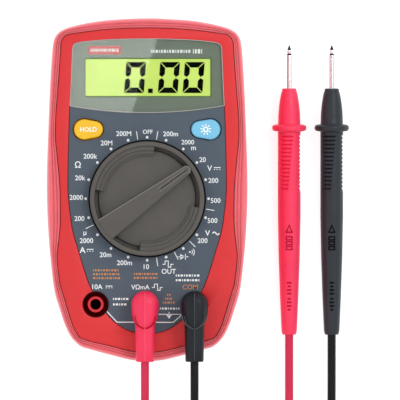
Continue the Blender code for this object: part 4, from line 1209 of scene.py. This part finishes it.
# Words, their centre and their height, in millimetres.
LABELS = [
    ("OFF", 0.2, 22.3, 1.6), ("200M", -9, 21.6, 1.9), ("20M", -15.6, 18.0, 1.9), ("200k", -21.8, 12.9, 1.9),
    ("Ω", -26.6, 9.7, 2.5), ("20k", -25.7, 4.6, 1.9), ("2000", -27.2, -2.9, 1.9),
    ("200", -26.0, -11.0, 1.9), ("µ", -23.9, -16.9, 1.8), ("2000", -23.3, -19.5, 1.9),
    ("A", -24.8, -23.1, 2.3), ("20m", -16.0, -24.9, 1.9), ("200m", -8.7, -28.0, 1.9),
    ("10", -0.3, -29.5, 1.9),
    ("200m", 9.0, 21.5, 1.9), ("2000", 15.6, 18.3, 1.8), ("m", 17.8, 15.9, 1.3), ("20", 21.3, 11.6, 1.9),
    ("V", 24.0, 8.3, 2.1), ("200", 25.4, 3.6, 1.9), ("500", 26.3, -4.1, 1.9), ("500", 25.1, -11.8, 1.9),
    ("V", 23.2, -16.6, 2.1), ("200", 21.3, -19.5, 1.9), ("OUT", 8.3, -31.3, 1.9),
    ("10A", -19.1, -37.2, 1.9), ("VΩmA", -2.6, -37.3, 1.9),
]


def stroke(bm, width, *points):
    """A printed line through points; width and points are in millimetres."""
    ribbon(bm, in_mm(*points), width * MM, PRINT_LOW, PRINT_HIGH)


def direct_current(bm, x, y):
    """A bar over three dashes."""
    stroke(bm, 0.3, (x - 1.3, y + 0.35), (x + 1.3, y + 0.35))
    for dash in (-1.05, 0, 1.05):
        stroke(bm, 0.3, (x + dash - 0.2, y - 0.35), (x + dash + 0.2, y - 0.35))


def square_wave(bm, x, y):
    stroke(bm, 0.3, (x - 2.1, y - 0.1), (x - 1.1, y - 0.1), (x - 1.1, y + 1.2), (x + 0.1, y + 1.2),
           (x + 0.1, y - 1.2), (x + 1.1, y - 1.2), (x + 1.1, y - 0.1), (x + 2.1, y - 0.1))


def wave(bm, x, y):
    points = [(x - 1.3 + 0.22 * i, y + 0.5 * math.sin(math.pi * i / 6)) for i in range(13)]
    stroke(bm, 0.42, *points)


def diode(bm, x, y):
    stroke(bm, 0.28, (x - 2.1, y), (x + 2.1, y))
    prism(bm, in_mm((x - 1.0, y - 1.1), (x + 0.9, y), (x - 1.0, y + 1.1)), PRINT_LOW, PRINT_HIGH)
    stroke(bm, 0.3, (x + 1.0, y - 1.1), (x + 1.0, y + 1.1))


def sound_waves(bm, x, y):
    prism(bm, circle(0.35 * MM, (x * MM, y * MM), 16), PRINT_LOW, PRINT_HIGH)
    for radius in (1.0, 1.75):
        turns = [math.radians(-45 + 15 * i) for i in range(7)]
        stroke(bm, 0.28, *[(x + radius * math.cos(a), y + radius * math.sin(a)) for a in turns])


def dashes(bm, left, right, rows, thick=0.75, low=PRINT_LOW, high=PRINT_HIGH):
    """Rows of short plain dashes, where the real panel has small print."""
    for row, y in enumerate(rows):
        x = left
        step = row
        while x < right - 0.4:
            end = min(right, x + 0.35 + 0.3 * (step % 3))
            ribbon(bm, in_mm((x, y), (end, y)), thick * MM, low, high)
            x = end + 0.4
            step += 1


def make_markings():
    bm = bmesh.new()
    for i in range(POSITIONS):
        angle = 2 * math.pi * i / POSITIONS
        spot = dial_centre.xy + Vector((math.cos(angle), math.sin(angle))) * DOT_REACH
        prism(bm, circle(0.52 * MM, spot, 24), PRINT_LOW, PRINT_HIGH)
    for degrees in SEPARATOR_ANGLES:
        away = Vector((math.cos(math.radians(degrees)), math.sin(math.radians(degrees))))
        ends = [dial_centre.xy + away * reached * MM for reached in (23.0, 26.2)]
        ribbon(bm, ends, 0.3 * MM, PRINT_LOW, PRINT_HIGH)
    for words, x, y, height in LABELS:
        add_text(bm, words, (x * MM, y * MM), height * MM, PRINT_LOW, PRINT_HIGH, 0.012)
    direct_current(bm, -21.9, -23.2)
    direct_current(bm, 26.9, 8.2)
    direct_current(bm, -14.6, -37.3)
    wave(bm, 26.4, -16.7)
    square_wave(bm, 8.0, -28.5)
    square_wave(bm, 3.9, -37.4)
    diode(bm, 13.7, -25.7)
    sound_waves(bm, 16.4, -23.9)
    stroke(bm, 0.38, (-15.4, -46.7), (-11.6, -50.8), (10, -50.9), (13.2, -48.1))
    stroke(bm, 0.3, (4.4, -47.8), (13, -47.8))
    stroke(bm, 0.35, (8.4, -46.9), (8.4, -48.2))
    prism(bm, in_mm((7.3, -48.0), (9.5, -48.0), (8.4, -49.5)), PRINT_LOW, PRINT_HIGH)
    dashes(bm, 11.0, 20.6, (-32.9, -34.7))
    dashes(bm, 4.9, 12.4, (-45.6,))
    dashes(bm, -13.1, -7.2, (-41.9, -44.0))
    add_print("panel_markings", finished(bm, "markings"), "meter", "white_print")

    bm = bmesh.new()
    add_text(bm, "COM", (16.5 * MM, -37.3 * MM), 1.9 * MM, PRINT_LOW, PRINT_HIGH, 0.012)
    dashes(bm, -20.8, -10.2, (-30.9, -32.4, -33.9))
    dashes(bm, -5.1, 4.2, (-32.3, -33.8))
    for middle, half in ((-40.3, 0.8), (-41.8, 1.6), (-43.3, 2.4)):
        dashes(bm, 8.4 - half, 8.4 + half, (middle,))
    add_print("panel_accents", finished(bm, "accents"), "meter", "orange_print")

    label = FACE_FLOOR + 0.2 * MM
    bm = bmesh.new()
    prism(bm, rounded_box(-22.6 * MM, -10.1 * MM, 52.05 * MM, 55.25 * MM, 0.5 * MM), label, label + 0.05 * MM)
    add_print("lens_plain_label", finished(bm, "label"), "meter", "label_red")
    bm = bmesh.new()
    dashes(bm, -21.7, -11.0, (53.65,), 1.2, label, label + 0.07 * MM)
    dashes(bm, 1.4, 16.6, (53.2,), 1.2, label, label + 0.07 * MM)
    dashes(bm, 17.6, 21.9, (53.2,), 1.7, label, label + 0.07 * MM)
    add_print("lens_plain_dashes", finished(bm, "dashes"), "meter", "white_print")


# ---- camera, light and floor

VIEW_WIDTH = 153.6 * MM
VIEW_CENTRE = Vector((20.3 * MM, -3.9 * MM))
CAMERA_HEIGHT = 6.0
SENSOR = 36.0


def add_camera():
    data = bpy.data.cameras.new("camera")
    data.sensor_width = SENSOR
    data.lens = SENSOR * CAMERA_HEIGHT / VIEW_WIDTH
    data.clip_start = 0.05
    data.clip_end = 20
    camera = new_object("camera", data)
    camera.location = (*VIEW_CENTRE, face_top + CAMERA_HEIGHT)
    bpy.context.scene.camera = camera


def add_light(name, place, size, power):
    """A rectangular light that points at the middle of the scene."""
    data = bpy.data.lights.new(name, "AREA")
    data.shape = "RECTANGLE"
    data.size, data.size_y = size
    data.energy = power
    light = new_object(name, data)
    light.location = place
    light.rotation_euler = (-Vector(place)).to_track_quat("-Z", "Y").to_euler()
    return light


# The softbox that the lens mirrors: its right edge runs along the mirror image of the glare's edge.
GLARE_EDGE = (Vector((4.1 * MM, 58 * MM)), Vector((-5.9 * MM, 29.7 * MM)))
SOFTBOX_SIZE = (0.1, 0.12)
SOFTBOX_RADIANCE = 6.6


def add_softbox():
    high, low = [2 * place - VIEW_CENTRE for place in GLARE_EDGE]
    along = (high - low).normalized()
    middle = (high + low) / 2 + Vector((-along.y, along.x)) * SOFTBOX_SIZE[0] / 2
    power = SOFTBOX_RADIANCE * math.pi * SOFTBOX_SIZE[0] * SOFTBOX_SIZE[1]
    light = add_light("softbox", (*middle, lens_high.z + CAMERA_HEIGHT), SOFTBOX_SIZE, power)
    light.rotation_euler = (0, 0, math.atan2(along.y, along.x) - math.pi / 2)


WHITE = (1, 1, 1, 1)
SKY_STRENGTH = 0.85
# Place and size in metres, and power in watts.
KEY_LIGHT = ((0.62, 0.4, 1.2), (0.4, 0.4), 5)
FILL_LIGHT = ((-0.8, -0.3, 1.2), (0.9, 0.9), 2)
FLOOR_HALF = 3
FLOOR_DROP = 0.1 * MM


def add_studio():
    world = bpy.data.worlds.new("studio")
    world.use_nodes = True
    world.node_tree.nodes["Background"].inputs["Color"].default_value = WHITE
    world.node_tree.nodes["Background"].inputs["Strength"].default_value = SKY_STRENGTH
    bpy.context.scene.world = world
    bpy.context.scene.view_settings.view_transform = "Standard"
    add_light("key_light", *KEY_LIGHT)
    add_light("fill_light", *FILL_LIGHT)
    add_softbox()

    surface = Surface("floor")
    surface.blend_colours(surface.noise(0.4, 1), (0.5, 0.5, 0.5, 1), (0.53, 0.53, 0.53, 1))
    surface.set(Roughness=0.9, Specular_IOR_Level=0.1, Emission_Color=WHITE, Emission_Strength=0.75)
    bm = bmesh.new()
    bmesh.ops.create_grid(bm, x_segments=8, y_segments=8, size=FLOOR_HALF)
    floor = new_object("floor", finished(bm, "floor"), "floor")
    floor.location.z = cad_low.z - FLOOR_DROP


# ---- test leads

LEAD_RADIUS = 1.6 * MM
# The coil in millimetres: its outer turn, the step between turns and its two layers' heights.
COIL_OUTER = 21.5
COIL_PITCH = 3.25
COIL_LAYERS = (2.3, 5.6)
COIL_ENTRY = math.pi

# Routes in millimetres, as the CAD model's: from the plug to the coil, and from the coil to the probe.
LEADS = {
    "red": {
        "from_plug": [
            (-0.8, -66.3, 40.2), (-0.8, -72, 40.2), (-0.8, -80, 39.4), (-0.8, -90, 35), (-0.9, -99, 27),
            (-1.2, -107, 17.3), (-1.6, -115, 8.6), (-2, -123.5, 3), (-2.4, -131.5, 1.7),
        ],
        "coil_centre": (19.0, -145.0),
        "turns": 5 + 155 / 360,
        "to_probe": [
            (44.1, -142.2, 5.9), (48.2, -133.3, 6.2), (52, -123.5, 4.4), (54.1, -113, 2.2),
            (54.7, -102, 1.65), (54.7, -88, 1.65), (54.7, -74, 1.65), (54.7, -64, 2.1), (54.7, -56.1, 2.75),
        ],
        "in_handle": [(54.7, -50.8, 3.04), (54.7, -15.8, 4.73), (54.7, 24.1, 6.66)],
    },
    "black": {
        "from_plug": [
            (18.2, -66.3, 40.2), (18.2, -72, 40.2), (18.2, -80, 39.4), (18.3, -89, 35.2), (18.8, -97, 28),
            (20.4, -104.5, 18.5), (23.8, -111.5, 9.4), (29.5, -118, 3.4), (37, -123.5, 1.65),
            (44, -128.6, 1.65), (49, -134, 1.65),
        ],
        "coil_centre": (74.0, -145.0),
        "turns": 5 + 220 / 360,
        "to_probe": [
            (83.4, -121.5, 5.2), (77.5, -114.5, 3), (73.2, -106, 1.8), (71.4, -96, 1.65),
            (71.1, -85, 1.65), (71.1, -74, 1.65), (71.1, -64, 2.1), (71.1, -56.1, 2.75),
        ],
        "in_handle": [(71.1, -50.8, 3.04), (71.1, -15.8, 4.73), (71.1, 24.1, 6.66)],
    },
}


def coil_points(centre, turns):
    """A coil of two layers in millimetres: it winds inwards below and outwards on top of itself."""
    half = turns / 2
    steps = round(turns * 16)
    low, high = COIL_LAYERS
    points = []
    for i in range(1, steps):
        turn = turns * i / steps
        radius = COIL_OUTER - COIL_PITCH * (half - abs(turn - half))
        climb = min(1.0, max(0.0, (turn - half) / 0.7 + 0.5))
        climb = smooth_step((turn - half) / 0.7 + 0.5)
        height = low + (high - low) * climb
        angle = COIL_ENTRY + 2 * math.pi * turn
        points.append((centre[0] + radius * math.cos(angle), centre[1] + radius * math.sin(angle), height))
    return points


def lead_path(lead):
    start = Vector(lead["from_plug"][0]) + Vector((0, 5, 0))
    points = [start, *lead["from_plug"], *coil_points(lead["coil_centre"], lead["turns"]),
              *lead["to_probe"], *lead["in_handle"]]
    return smooth_path([Vector(point) * MM for point in points], 1.6 * MM)


def add_lead(colour):
    lead = LEADS[colour]
    path = lead_path(lead)
    name = f"{colour}_test_lead"
    mesh = skinned(tube_rings(path, lambda i: LEAD_RADIUS, 14), name)
    cable = new_object(name, mesh, f"lead_{colour}")
    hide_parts(f"{colour}_lead_from_plug", f"{colour}_lead_coil", f"{colour}_lead_to_probe")
    plug_end = (Vector(lead["from_plug"][0]) + Vector((0, 0.3, 0))) * MM
    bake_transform(cable)
    return cable, path, plug_end


# ---- assembly

add_camera()
add_studio()
finish_cad_nodes()

make_holster()
make_front_case()
make_lens()
make_digits()
make_knob()
make_buttons()
make_jacks()
make_markings()

for colour, jack in (("red", "vohm"), ("black", "com")):
    plug = make_plug(colour, jack)
    handle, needle = make_probe(colour)
    cable, path, plug_end = add_lead(colour)
